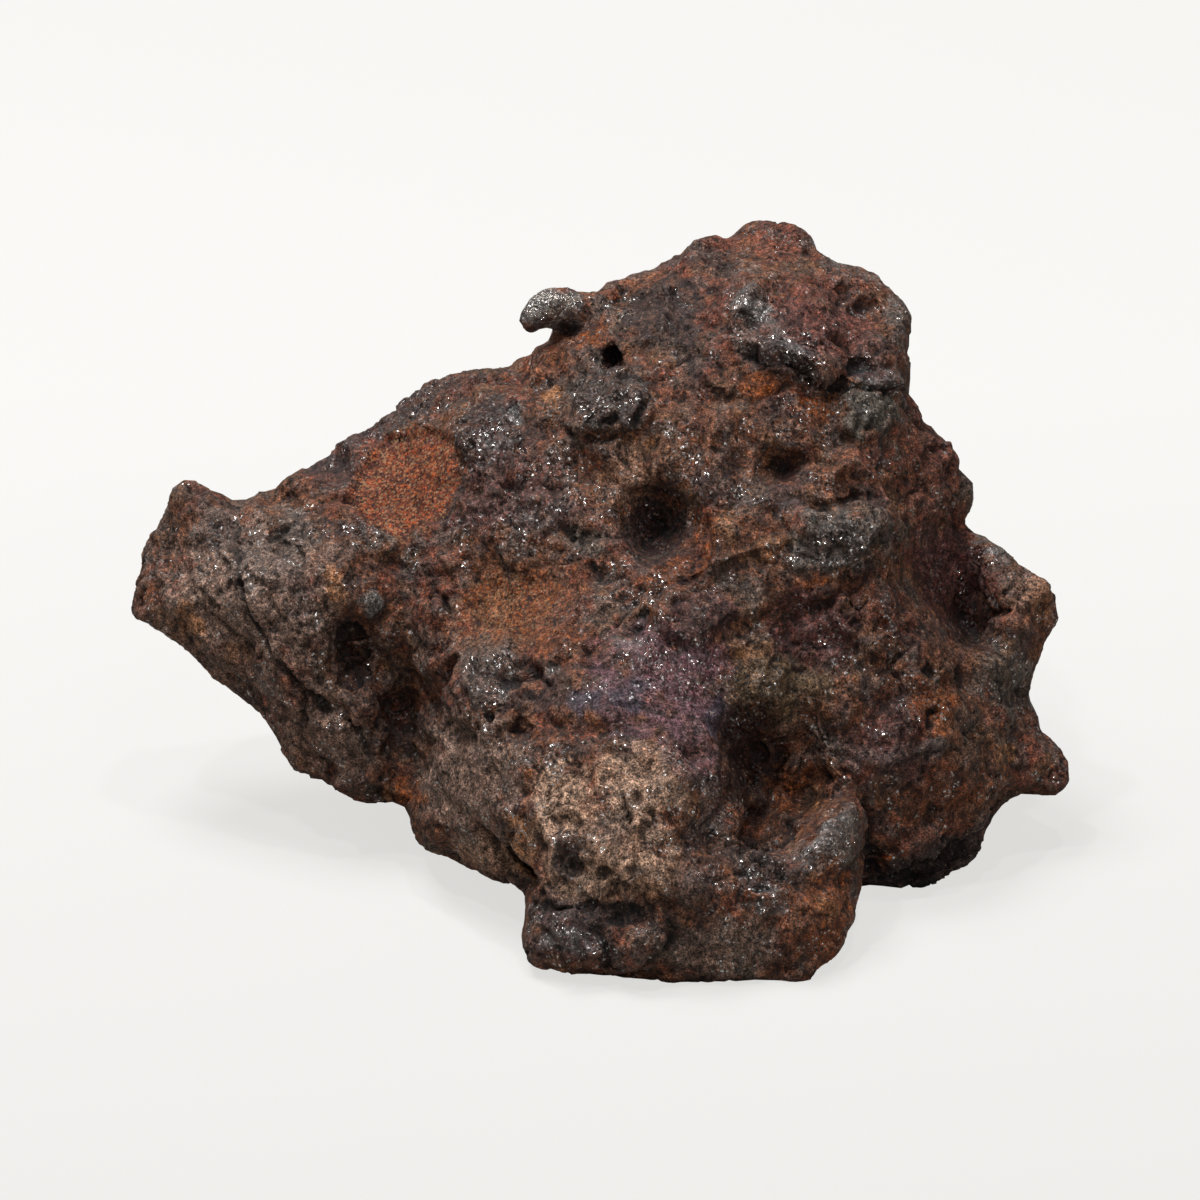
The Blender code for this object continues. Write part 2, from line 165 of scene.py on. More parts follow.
# %% Tug the outline
TUGS = [
    # (across, up), reach, (push across, push up)
    ((-24, 74.5), 7.5, (-0.9, 1.6)), ((-29, 23), 6.5, (-0.3, -1.2)), ((58.5, 26), 5.0, (1.0, -0.3)),
    ((58, 30), 3.5, (0.7, 0)), ((-9, 83.6), 2.6, (-0.2, -1.2)), ((-22.5, 18), 4.5, (-0.8, -0.5)),
    ((35, 90), 5.5, (0.6, 0.7)), ((19, 96.2), 2.8, (-1.0, 0.5)), ((26.2, 95.3), 2.8, (1.0, 0.5)),
    ((-58.3, 55), 3.5, (-0.9, 0)), ((-47.5, 62.3), 3.4, (0, -1.2)), ((-37.5, 66.3), 3.5, (0.3, -0.8)),
    ((-6.8, 82), 2.2, (1.2, 0)), ((42.2, 71.5), 3.5, (-0.6, -0.4)), ((-9.4, 80), 2.6, (-0.8, 0.7)),
    ((-7, 87.4), 4.0, (0, 0.5)), ((22.5, 98), 1.8, (0, -0.5)), ((-54, 62.8), 3.0, (-0.4, 0.8)),
    ((47.2, 62), 3.0, (1.1, 0)), ((44.8, 67.5), 2.6, (1.0, 0)), ((-59.5, 47.3), 3.0, (-0.9, 0)),
    ((55, 34), 2.8, (1.0, 0)), ((1.2, 88.5), 2.5, (0, 0.9)), ((29.5, 1.5), 4.0, (-1.0, 0)),
    ((50.5, 19.5), 3.0, (-0.8, 0.2)), ((47.5, 57.8), 2.2, (-0.8, 0)), ((40.6, 81.5), 3.0, (-0.9, 0)),
    ((-46.2, 62), 2.5, (0, -0.8)), ((57.2, 24.5), 2.5, (0, -0.7)), ((-59, 51), 2.6, (-0.8, 0)),
    ((20.8, 96.6), 2.2, (0, 0.7)), ((-38, 27.5), 2.6, (-0.3, -0.7)),
]
pushes = np.zeros((len(points), 2))
for middle, reach, push in TUGS:
    gap = np.hypot(*(points[:, :2] - np.array(middle)).T) / reach
    pushes += np.outer(np.clip(1 - gap ** 2, 0, 1) ** 1.5, push)
points[:, :2] += pushes
print("tugged", len(TUGS), "places by up to", round(np.abs(pushes).max(), 1), "mm")

# %% Soften two hollows
SOFT_PLACES = [((49, 45), 9.0), ((44, 50), 8.0), ((-31.5, 41), 5.5)]
softened = averaged(points, ends, 90)
for middle, reach in SOFT_PLACES:
    gap = np.hypot(*(points[:, :2] - np.array(middle)).T) / reach
    share = (np.clip(1 - gap ** 2, 0, 1) * (points[:, 2] > 5))[:, None]
    points[:] = points * (1 - share) + softened * share


# %% Put the points in the mesh
def face_on(points):
    """Puts the points in the mesh, in the leaning frame, and gives their normals."""
    write(skin, points)
    return read(skin, "normal")


normals = face_on(points)

# %% [markdown]
# ## Where a stroke lands
#
# A stroke is laid from the front, so it must mark only what is seen from there, and not the back of
# the stone behind the same place. A ray from each point towards the viewer tells whether anything
# hides it. The strokes also fade where the surface turns edge-on, so nothing is smeared there.

# %% Points seen from the front
LIFT_OFF = 0.4
SIGHT = Vector((0, 0, 1))

tree_maker = bmesh.new()
tree_maker.from_mesh(skin)
tree = BVHTree.FromBMesh(tree_maker)
tree_maker.free()


def is_open(point, normal):
    start = Vector(point + normal * LIFT_OFF)
    return tree.ray_cast(start, SIGHT)[0] is None


turned = np.clip(normals[:, 2] * 3, 0, 1)
seen = np.array([t > 0 and is_open(p, n) for p, n, t in zip(points, normals, turned)], float)
front = averaged(seen * turned, ends, 3)
facing = averaged(seen, ends, 2)
print("seen from the front", int(seen.sum()), "points")

# %% [markdown]
# ## Strokes
#
# A few kinds of stroke make every named feature: an oval that presses in or swells, a line that
# cuts a crack or raises a crest, a ledge that lifts one side of a line, and a plate that raises,
# sinks or flattens an outlined patch. Their places are wobbled by noise first, so that no edge
# comes out as a ruled line.

# %% Wobbled places
WOBBLE_SIZE = 3.2
WOBBLE = 0.9


def noise_vectors(points, size):
    return np.array([noise.noise_vector(Vector(p) / size) for p in points])


def noise_values(points, size, octaves=4, dimension=0.8):
    return np.array([noise.fractal(Vector(p) / size, dimension, 2.1, octaves) for p in points])


wobble = noise_vectors(points, WOBBLE_SIZE)
place = points[:, :2] + WOBBLE * wobble[:, :2]


# %% The strokes' shapes
def oval(middle, radii, turn=0.0):
    """1 at the middle of an oval and 0 at its rim."""
    angle = math.radians(turn)
    offset = place - np.array(middle)
    first = offset @ np.array([math.cos(angle), math.sin(angle)]) / radii[0]
    second = offset @ np.array([-math.sin(angle), math.cos(angle)]) / radii[1]
    return np.clip(1 - first ** 2 - second ** 2, 0, None) * front


def from_line(line):
    """Distance from a bent line, the side of it (left is positive), and how far along, 0 to 1."""
    nearest = np.full(len(place), 1e9)
    side = np.zeros(len(place))
    along = np.zeros(len(place))
    steps = len(line) - 1
    for index in range(steps):
        start, stop = np.array(line[index], float), np.array(line[index + 1], float)
        run = stop - start
        share = np.clip((place - start) @ run / (run @ run), 0, 1)
        offset = place - start - share[:, None] * run
        gap = np.hypot(offset[:, 0], offset[:, 1])
        closer = gap < nearest
        nearest[closer] = gap[closer]
        side[closer] = (run[0] * offset[:, 1] - run[1] * offset[:, 0])[closer]
        along[closer] = ((index + share) / steps)[closer]
    return nearest, np.sign(side), along


def stroke(line, width):
    """1 on a bent line, 0 at width from it, fading out at both ends."""
    gap, _, along = from_line(line)
    ends_fade = np.clip(np.minimum(along, 1 - along) * 6 + 0.25, 0, 1)
    return np.clip(1 - gap / (width * (1 + 0.6 * wobble[:, 2])), 0, 1) * ends_fade * front


def ledge(line, reach):
    """Falls from 1 at the line to 0 at reach, on the line's left side only."""
    gap, side, along = from_line(line)
    ends_fade = np.clip(np.minimum(along, 1 - along) * 5, 0, 1)
    return np.where(side > 0, np.clip(1 - gap / reach, 0, 1), 0) * ends_fade * front


def patch(outline, edge):
    """1 inside an outline, and 0 past its edge, with a border edge mm wide."""
    closed = list(outline) + [outline[0]]
    gap, _, _ = from_line(closed)
    inside = np.zeros(len(place), bool)
    for start, stop in zip(closed, closed[1:]):
        spans = (start[1] > place[:, 1]) != (stop[1] > place[:, 1])
        slope = (stop[0] - start[0]) / ((stop[1] - start[1]) or 1e-9)
        inside ^= spans & (place[:, 0] < start[0] + slope * (place[:, 1] - start[1]))
    return np.clip(np.where(inside, gap, -gap) / edge + 0.5, 0, 1) * front


# %% [markdown]
# ## The large forms
#
# First come the broad things: the thumbprint in the middle of the face, the gully beside the belly,
# the slot in the snout, and the swells between them. Falling iron melts unevenly, and each hollow is
# where a whirl of hot air stood on the surface. They are pressed straight in, away from the viewer.

# %% Press and swell
SWELLS = [
    # (across, up), radii, turn, height in mm; negative presses in
    ((8, 58.5), (7.0, 7.5), 0, -1.6),
    ((6.6, 56.5), (3.4, 3.8), 0, -1.6),
    ((11.5, 55), (3.0, 5.0), -20, -1.0),
    ((22.3, 65), (2.3, 1.8), 10, -0.7),
    ((26.3, 93.2), (1.1, 1.1), 0, -0.9),
    ((27.6, 91.8), (0.8, 0.8), 0, -0.6),
    ((-12, 47.5), (10, 5.5), 28, -1.6),
    ((-32.0, 41.8), (2.4, 5.0), 14, -0.5),
    ((-31.8, 38.6), (1.5, 2.6), 14, -0.9),
    ((-31.4, 42.8), (1.5, 1.6), 0, 2.2),
    ((-53.4, 46.2), (1.7, 1.9), 20, -1.8),
    ((-29.5, 48), (2.6, 3.2), 0, 1.1),
    ((-24, 33), (6, 8), 0, -0.8),
    ((18.8, 29), (5.5, 9.5), 8, -1.2),
    ((14.2, 31), (1.6, 5.0), 6, -0.7),
    ((19.5, 26), (3.0, 3.5), 0, 1.6),
    ((26, 44), (6.5, 7.0), 0, -1.6),
    ((46.0, 48), (6.5, 9.0), 20, -1.6),
    ((41.5, 54), (4.5, 6.0), 0, -1.6),
    ((33.5, 86.5), (5.5, 2.4), -25, -2.2),
    ((24, 86), (4.5, 4.0), 0, -0.6),
    ((25.5, 82), (6.0, 2.6), -10, 1.0),
    ((19, 86), (2.6, 3.0), 0, 1.4),
    ((1.6, 78.9), (1.5, 1.9), 30, -4.0),
    ((11.3, 86.4), (1.7, 1.6), 0, -0.7),
    ((29, 81.5), (11, 4.5), -25, 1.2),
    ((24.5, 75.6), (7, 2.0), -12, -1.0),
    ((-11.3, 72.3), (1.9, 2.0), 0, -1.3),
    ((-34, 66.5), (2.2, 2.0), 20, -0.9),
    ((-40.5, 56.5), (2.6, 3.4), -25, -1.3),
    ((-3.2, 16.8), (2.4, 3.8), 10, -1.0),
    ((-2.9, 15.4), (1.3, 1.5), 0, -1.3),
    ((-4.5, 18.7), (1.4, 1.6), 0, 1.0),
    ((-9.8, 32.2), (2.6, 2.0), -30, -2.0),
    ((-4.5, 6.8), (3.6, 2.6), 0, 0.5),
    ((4.4, 6.6), (3.4, 2.6), 0, 0.5),
    ((27.5, 9.5), (2.0, 2.4), 0, -1.0),
    ((23, 27), (4.0, 4.5), 0, 1.2),
    ((42, 26), (6.0, 4.5), 20, 0.9),
    ((36, 45), (3.0, 5.0), 0, 1.0),
    ((42, 14.8), (8.5, 2.6), 20, -2.0),
    ((12.5, 13.5), (3.0, 3.6), 40, 0.9),
    ((31, 57), (5.5, 3.0), 10, 0.7),
    ((33.5, 73), (3.4, 2.6), 0, 0.9),
    ((4.5, 23.5), (6.5, 5.5), 0, 0.8),
    ((-6.5, 22), (3.5, 4.0), 0, 0.9),
    ((-47, 41.5), (2.2, 1.8), 0, -0.9),
    ((56, 47), (2.8, 4.0), 0, 0.7),
    ((50.5, 25), (1.8, 1.3), 0, 0.7),
    ((-45, 49), (3.5, 6.0), 10, 0.7),
]

press = np.zeros(len(points))
for middle, radii, turn, height in SWELLS:
    press += height * oval(middle, radii, turn) ** 1.4
points[:, 2] += press
normals = face_on(points)
print("pressed", round(press.min(), 1), "to", round(press.max(), 1), "mm")

# %% [markdown]
# ## Plates, ledges and cracks
#
# The melted crust broke into plates as it cooled, and rust has lifted their edges. A ledge lifts the
# surface on one side of a line and drops it sharply on the other. A crack is a narrow stroke cut
# along the normal. Orange rust shows where one plate has fallen off and left a flat scar.

# %% Plates
SCAR = [
    (-33, 61), (-30.5, 66.5), (-27.5, 70.3), (-22.5, 70.8), (-18.6, 69), (-17.4, 65.8),
    (-18.4, 61), (-21, 58.2), (-25, 55.2), (-28.5, 58),
]
PLATES = [
    # outline, edge width, height
    (SCAR, 0.7, -1.1),
    ([(-19.5, 36), (-19.3, 41.5), (-14.5, 44.6), (-11, 44.3), (-9.8, 40), (-8.7, 35.5),
      (-10.5, 33), (-14.5, 31.2), (-18, 33)], 1.0, 1.2),
    ([(23, 53), (26, 59.5), (31.5, 61), (36.3, 59), (36.5, 54.5), (33.5, 52), (27, 52.5)], 0.9, 0.8),
    ([(-4.8, 70), (-3.5, 76), (2, 77.6), (6.3, 75.5), (6.8, 71.5), (3, 69.2), (-1, 69)], 1.0, 0.8),
    ([(-8.2, 2.8), (-8.4, 9.2), (-0.8, 9.6), (-0.4, 3.2)], 0.8, 0.6),
    ([(0.8, 3.9), (0.9, 9.4), (7.2, 9.3), (8.2, 6.0), (5.5, 3.7)], 0.8, 0.7),
    ([(30.5, 69.5), (30.5, 75.2), (37.5, 75.4), (38.5, 71), (35, 68.5)], 0.8, 0.5),
    ([(-6.4, 14.2), (-6.2, 19.8), (-3.6, 21.2), (-1.8, 19), (-2, 14.5), (-4.2, 13)], 0.6, 0.4),
    ([(-38, 61), (-36.5, 65.2), (-31.5, 69.5), (-29.5, 68), (-32.5, 61.5)], 0.9, 0.5),
    ([(-56, 55), (-54.5, 63.5), (-50, 62), (-49.5, 57)], 0.9, 0.4),
    ([(23, 13.8), (26.5, 18), (31, 23.5), (32.6, 22), (32.6, 17), (27.5, 14.2)], 0.8, 1.1),
    ([(-30.6, 47), (-30, 49.5), (-27.6, 49.3), (-26.9, 47.5), (-28.4, 46.2)], 0.5, 0.4),
]
lift = np.zeros(len(points))
for outline, edge, height in PLATES:
    lift += height * patch(outline, edge)

# %% Ledges
LEDGES = [
    # line (the left side is lifted), reach, height
    ([(-9.5, 11.8), (-5.5, 10.3), (-1.5, 11.4), (3, 10.2), (9, 11)], 4.0, 0.6),
    ([(34, 13.4), (37, 15.2), (41, 17), (46.6, 20), (52, 22.8)], 3.4, 2.4),
    ([(-24.5, 21.2), (-19, 20.2), (-13, 19.2)], 2.5, 0.7),
    ([(15.5, 80.5), (20, 79), (24, 78.6), (27, 76.4), (31, 75.6)], 3.5, 2.6),
    ([(30.5, 75.0), (34, 75.8), (39, 75.6)], 2.6, 1.7),
    ([(2.5, 51.2), (6, 50.4), (10, 50.4), (13, 52.2), (16, 55.8)], 3.0, 0.5),
    ([(15.5, 18.2), (19, 17.2), (22, 14.8), (24.5, 13.4)], 2.6, 1.1),
    ([(32.8, 41), (33, 45.5), (34.3, 50)], 2.2, -0.9),
    ([(30.5, 26.6), (35, 28), (41, 29.2), (46.5, 31.2)], 2.2, 0.8),
    ([(-30.5, 58.3), (-28.4, 56.2), (-25.5, 54.8)], 1.8, 0.8),
    ([(-59, 53), (-56, 49.5), (-51, 43.2), (-46, 39)], 2.4, 0.8),
    ([(-17.2, 61), (-16.6, 66), (-17.6, 70)], 1.8, -0.6),
    ([(18.5, 88.5), (16.8, 84.5), (16.4, 80)], 2.4, 0.9),
    ([(20.5, 62.2), (27, 61.2), (36, 62)], 2.4, 0.6),
    ([(52, 22.8), (46.6, 20), (41, 17), (37, 15.2), (34, 13.4)], 4.5, -2.0),
    ([(-50, 58), (-47.5, 52), (-45, 47), (-41, 42)], 2.6, 0.6),
    ([(-44, 58), (-38, 55), (-35, 50)], 2.6, 0.6),
    ([(-55, 56), (-52, 51), (-48, 46)], 2.2, 0.5),
]
for line, reach, height in LEDGES:
    lift += height * ledge(line, reach)

# %% Cracks and crests
CRACKS = [
    # line, half width, depth
    ([(-47, 57.2), (-46.4, 53.5), (-46, 50), (-44.6, 46.2), (-43, 43)], 0.55, 1.2),
    ([(-43, 43), (-41.6, 41), (-40, 39.4), (-37.8, 36.9), (-36, 35.2), (-33.2, 33.9)], 0.55, 1.2),
    ([(-33.2, 33.9), (-31, 32), (-29.6, 29), (-28.4, 27.2)], 0.6, 1.1),
    ([(-39.6, 38.6), (-38, 36.3), (-37.5, 33.8)], 0.6, 1.1),
    ([(-31.2, 57.8), (-29.4, 55.2)], 0.8, 1.3),
    ([(-38.6, 59.8), (-41, 57), (-42.8, 56)], 0.5, 0.7),
    ([(-1.8, 68.2), (0.4, 68.2), (2.6, 68.9)], 0.55, 1.1),
    ([(0.2, 70.8), (2.2, 71.4)], 0.6, 1.1),
    ([(4, 70.8), (6, 72.8)], 0.75, 1.5),
    ([(30.4, 75.2), (34, 75.6), (38.4, 75.3)], 0.55, 1.1),
    ([(31.8, 78.6), (34.6, 78.1)], 0.6, 0.9),
    ([(17, 80.4), (20, 78.9), (24, 78.4), (27, 76.2), (31, 75.4)], 0.9, 1.5),
    ([(26.2, 59.2), (29.6, 60)], 0.7, 1.3),
    ([(34.6, 59.4), (33.4, 57.4)], 0.45, 0.7),
    ([(36.2, 57.5), (36.6, 54)], 0.5, 0.7),
    ([(33.6, 24), (33.4, 19.5), (34, 14.2)], 0.9, 2.2),
    ([(41.4, 40.2), (42.2, 38.4)], 0.6, 1.2),
    ([(45.2, 40), (46.2, 38.9)], 0.6, 1.2),
    ([(43, 34.7), (41.4, 34), (40.8, 32)], 0.6, 1.3),
    ([(37.6, 33.9), (38.4, 32.9)], 0.6, 1.0),
    ([(1.2, 30), (3.2, 28.5)], 0.5, 0.9),
    ([(2.1, 25), (3.9, 21)], 0.45, 1.0),
    ([(4.3, 25.2), (5.2, 23.8)], 0.5, 0.8),
    ([(6.2, 22.4), (7.2, 20.6)], 0.45, 0.8),
    ([(7.6, 25.6), (8.4, 24.8)], 0.45, 0.8),
    ([(-1.2, 14.8), (0.6, 14.8), (1.6, 14)], 0.5, 0.6),
    ([(0.3, 9.6), (0.2, 6), (0.6, 3.6), (4.8, 3.2), (7.6, 4.6)], 0.6, 1.1),
    ([(8.8, 10), (9.2, 7), (7.8, 4.6)], 0.9, 1.2),
    ([(-9, 11), (-5.5, 9.7), (-1.5, 10.8), (3, 9.6), (8, 10.4)], 1.0, 0.4),
    ([(10.2, 14.8), (12.2, 13.2), (14.2, 12.8)], 0.6, 0.9),
    ([(16.4, 17.9), (18.6, 17.2), (20.8, 15.6)], 0.6, 1.2),
    ([(-21, 49.8), (-19.2, 47.2), (-18.8, 45.6)], 0.6, 1.0),
    ([(-57.4, 52), (-55.6, 49.8)], 0.8, 1.2),
    ([(31.6, 48.8), (32.8, 47.4)], 0.8, 1.2),
    ([(-1.6, 52.8), (1, 51.2), (2.6, 51.2)], 0.6, 0.8),
    ([(21.4, 59.8), (23.8, 57.2)], 0.7, 0.7),
    ([(-12, 38.2), (-9.6, 38)], 0.6, 0.8),
    ([(24, 20.4), (22, 18), (20.4, 17.2)], 0.7, 1.0),
]
CRESTS = [
    ([(23.6, 15.6), (28, 19), (31.2, 23.2)], 1.5, 0.9),
    ([(-58.5, 56), (-57, 59.5), (-54.5, 63)], 1.2, 0.5),
    ([(16.4, 80), (17, 84), (19.4, 87.4)], 1.6, 0.7),
    ([(34, 41.5), (34.4, 46), (35.2, 50)], 1.3, 0.7),
    ([(16.5, 64), (16.8, 70)], 0.8, 0.5),
    ([(13, 52.6), (18, 54), (25, 57.4)], 1.3, 0.7),
    ([(-38, 57.6), (-34, 59.6), (-30.6, 59.4)], 1.1, 0.6),
    ([(18, 12.2), (21, 11.2), (24.4, 13)], 1.2, 0.7),
    ([(35.6, 16.2), (40, 18.6), (46, 20.8)], 1.0, 0.6),
    ([(-9, 20), (-8.4, 16), (-9.6, 13)], 1.4, 0.5),
]
crack = np.zeros(len(points))
for line, width, depth in CRACKS:
    crack = np.maximum(crack, depth * stroke(line, width) ** 0.8)
for line, width, height in CRESTS:
    lift += height * stroke(line, width)
points += normals * (lift - crack)[:, None]
normals = face_on(points)
print("plates, ledges and cracks:", len(PLATES) + len(LEDGES) + len(CRACKS) + len(CRESTS), "strokes")

# %% [markdown]
# ## Weathering
#
# Centuries of rust leave the surface broken at every scale. Voronoi cells, each leaning its own way,
# give chipped facets from one to seven millimetres wide. Ridged noise gives sharp crests, and noise
# drawn out along one direction gives the fibres of the iron where rust has opened them. The dark
# crust is knobbly instead. Smooth scars get less of all this.

# %% How rough each place is
SMOOTH_PLACES = [
    # (across, up), radii, turn, how smooth
    ((-44, 50), (15, 14), 0, 0.2),
    ((-25, 63.5), (9.5, 9.0), 0, 0.9),
    ((-11, 47.5), (10, 6.0), 28, 0.6),
    ((-17, 26), (7.0, 6.0), 0, 0.45),
    ((15, 5), (8.0, 5.0), 0, 0.5),
    ((28, 10), (5.0, 7.0), 0, 0.35),
    ((54, 42), (4.0, 8.0), 0, 0.4),
    ((42, 26), (8.0, 6.0), 0, 0.3),
    ((8, 38), (9.0, 8.0), 0, 0.4),
    ((8, 57), (7.0, 7.0), 0, 0.5),
    ((-6.5, 86), (7.0, 4.5), 0, 1.0),
    ((28.5, 19), (3.4, 6.5), -42, 0.7),
    ((-28.8, 48), (2.6, 2.4), 0, 0.9),
    ((22.5, 94), (6, 4.5), 0, 0.75),
    ((2, 22), (11, 8), 0, 0.3),
    ((22, 65), (4, 4), 0, 0.5),
    ((45, 48), (7, 9), 20, 0.5),
]
smooth_share = np.zeros(len(points))
for middle, radii, turn, amount in SMOOTH_PLACES:
    smooth_share = np.maximum(smooth_share, amount * np.sqrt(oval(middle, radii, turn)))
roughness_here = 1 - smooth_share


def cloud(size, shift, low, high, octaves=4):
    """Soft patches: 0 below low, 1 above high."""
    value = noise_values(points + shift, size, octaves, 0.6)
    return np.clip((value - low) / (high - low), 0, 1)


GLOSSY = [
    # (across, up), radii, turn, strength
    ((-27, 72), (13, 4), 32, 0.8), ((-14, 70), (6, 6), 0, 1.0), ((1, 74), (6, 5), 0, 0.8),
    ((-10, 58), (6, 5), 0, 0.6), ((19, 86), (4, 4), 0, 1.0), ((24, 80), (7, 3), 0, 0.6),
    ((35, 75), (5, 4), 0, 0.8), ((29, 19), (4, 5), -40, 1.0), ((20, 13), (5, 4), -20, 1.0),
    ((-3, 6), (5, 3), 0, 0.9), ((8, 40), (9, 6), 0, 0.7), ((36, 46), (3, 5), 0, 0.7),
    ((-14, 40), (5, 5), 0, 0.6), ((-45, 55), (10, 8), 0, 0.5), ((50, 55), (3, 3), 0, 0.8),
    ((26, 46), (5, 5), 0, 0.7), ((-30, 57), (4, 3), 0, 1.0), ((50.5, 25), (3, 2), 0, 0.7),
    ((30, 56), (7, 5), 0, 0.5), ((33, 91), (6, 3), -20, 0.8), ((12, 22), (8, 8), 0, 0.4),
    ((-4, 17), (3, 4), 0, 0.7), ((-2, 64), (8, 8), 0, 0.5), ((38, 86), (3, 3), 0, 0.7),
]
gloss = 0.10 + 0.60 * cloud(4, 600, 0.05, 0.45)
broken = 0.35 + 0.9 * cloud(2.5, 650, -0.25, 0.35, 3)
for middle, radii, turn, strength in GLOSSY:
    gloss = np.maximum(gloss, strength * broken * np.clip(1.5 * oval(middle, radii, turn), 0, 1))
print("gloss", round(gloss.min(), 2), "to", round(gloss.max(), 2))


# %% Chips, crests, fibres and knobs
def chips(points, size):
    """Each Voronoi cell leans its own way, so it is a facet with a seam round it."""
    heights = np.empty(len(points))
    for index, point in enumerate(points):
        spot = Vector(point) / size
        gaps, middles = noise.voronoi(spot)
        tilt = noise.cell_vector(middles[0] * 9.7) - Vector((0.5, 0.5, 0.5))
        seam = min(1.0, (gaps[1] - gaps[0]) * 4)
        heights[index] = (spot - middles[0]).dot(tilt) * seam
    return heights * size


def knobs(points, size):
    """Small round swellings, packed side by side."""
    return np.array([0.5 - noise.voronoi(Vector(p) / size)[0][0] for p in points]) * size


def crests(points, size, octaves):
    values = [noise.ridged_multi_fractal(Vector(p) / size, 0.9, 2.2, octaves, 1.0, 2.0) for p in points]
    return np.array(values) - np.mean(values)


def layers(points, size, count):
    """Sheets of scale one on another: flat steps with steep edges that follow a noise."""
    height = noise_values(points, size, 4, 0.7) * count
    step = np.floor(height)
    return step + np.clip((height - step - 0.78) / 0.22, 0, 1)


def drawn_out(points, direction, length):
    """The points squeezed along a direction, so that noise read there comes out as long fibres."""
    direction = np.array(direction, float)
    direction /= np.linalg.norm(direction)
    return points - np.outer(points @ direction, direction) * (1 - 1 / length)


CRAGGY_PLACES = [
    # (across, up), radii, turn
    ((-12, 62), (12, 9), 0), ((1, 74), (8, 6), 0), ((-28, 72), (13, 5), 32), ((34, 76), (7, 4), 0),
    ((30, 56), (8, 6), 0), ((22, 13), (8, 6), -20), ((-4, 6), (6, 5), 0), ((-14, 38), (7, 8), 0),
    ((38, 44), (5, 9), 0), ((21, 84), (9, 7), 0), ((-30, 35), (6, 9), 20), ((46, 66), (5, 9), 0),
]
craggy = np.zeros(len(points))
for middle, radii, turn in CRAGGY_PLACES:
    craggy = np.maximum(craggy, np.clip(1.6 * oval(middle, radii, turn), 0, 1))
warped = points + 1.6 * noise_vectors(points + 20, 4.0)
leftness = np.clip(-points[:, 0] / 15, 0, 1)
fibres = leftness * noise_values(drawn_out(warped, (0.55, -0.83, 0.1), 5), 1.0, 2)
fibres += (1 - leftness) * noise_values(drawn_out(warped, (0.25, 1, 0.1), 5), 1.0, 2)
crust = np.clip((gloss - 0.45) / 0.3, 0, 1)

tips = np.clip(((points - averaged(points, ends, 60)) * normals).sum(1) / 1.2 - 0.3, 0, 1)
rim = averaged(np.clip(1 - np.abs(normals[:, 2]) / 0.55, 0, 1), ends, 12)
broad = 0.26 * crests(warped, 12.0, 3) + 0.62 * chips(warped, 8.0)
medium = 0.34 * chips(warped + 40, 3.8) + 0.20 * chips(warped + 70, 1.9)
weather = broad * (1 - 0.8 * rim) + medium * (1 - 0.6 * rim) * (1 + 1.0 * craggy)
weather += 0.11 * layers(drawn_out(warped, (0.3, 1, 0), 1.8) + 15, 8.0, 5) * (1 - 0.8 * rim)
weather += 0.07 * layers(drawn_out(warped, (-0.4, 1, 0), 1.8) + 45, 3.5, 4)
weather += 0.13 * fibres * (1 - 0.6 * crust) * (1 + leftness) * (1 - 0.8 * rim)
weather += 0.16 * knobs(warped, 1.3) * crust
weather += 0.08 * noise_values(points + 80, 1.2, 3)
weather = weather * (1 - 0.8 * tips) - 0.35 * tips
points += normals * (weather * roughness_here)[:, None]
normals = face_on(points)
print("weathering", round(weather.min(), 2), "to", round(weather.max(), 2), "mm")

# %% Fine splits between the scales
SPLIT_SIZE = 7.0
SPLIT_WIDTH = 0.05
split_points = points + 1.5 * noise_vectors(points + 30, 2.6)
split_gap = np.empty(len(points))
for index, point in enumerate(split_points):
    gaps = noise.voronoi(Vector(point) / SPLIT_SIZE)[0]
    split_gap[index] = gaps[1] - gaps[0]
splits = np.clip(1 - split_gap / SPLIT_WIDTH, 0, 1) * np.maximum(cloud(7, 800, -0.05, 0.15), craggy)
points -= normals * (0.55 * splits * roughness_here)[:, None]

# %% Small pits and nicks
NICK_COUNT = 900
dice = np.random.default_rng(11)
pitted = cloud(10, 850, -0.1, 0.4, 2) + 0.15 + oval((3, 20), (14, 10)) + 1.5 * oval((46, 50), (7, 12))
hosts = dice.choice(len(points), NICK_COUNT, p=pitted / pitted.sum())
radii = dice.uniform(0.35, 0.8, NICK_COUNT) ** 1.2
lengths = np.maximum(0, dice.uniform(-2.0, 3.2, NICK_COUNT))
angles = np.radians(dice.normal(100, 28, NICK_COUNT) + 25 * np.clip(-points[hosts, 0] / 20, 0, 1))
finder = KDTree(len(points))
for index, point in enumerate(points):
    finder.insert(point, index)
finder.balance()
nicks = np.zeros(len(points))
for host, radius, length, angle in zip(hosts, radii, lengths, angles):
    run = np.array([math.cos(angle), math.sin(angle), 0])
    run -= normals[host] * (run @ normals[host])
    found = finder.find_range(points[host], radius + length / 2)
    near = np.array([index for _, index, _ in found])
    offset = points[near] - points[host] + 0.35 * wobble[near]
    offset -= np.outer(np.clip(offset @ run, -length / 2, length / 2), run)
    narrow = radius * (1.0 if length == 0 else 0.6)
    reach = (offset ** 2).sum(1) / narrow ** 2
    nicks[near] = np.maximum(nicks[near], narrow * 0.8 * np.clip(1 - reach, 0, 1) ** 1.2)
points -= normals * (nicks * roughness_here)[:, None]
normals = face_on(points)
print("pits and nicks", NICK_COUNT)

# %% [markdown]
# ## Back onto the floor
#
# The stone stands on the flat at the part's base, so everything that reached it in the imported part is
# laid flat again, and nothing may dip below it.

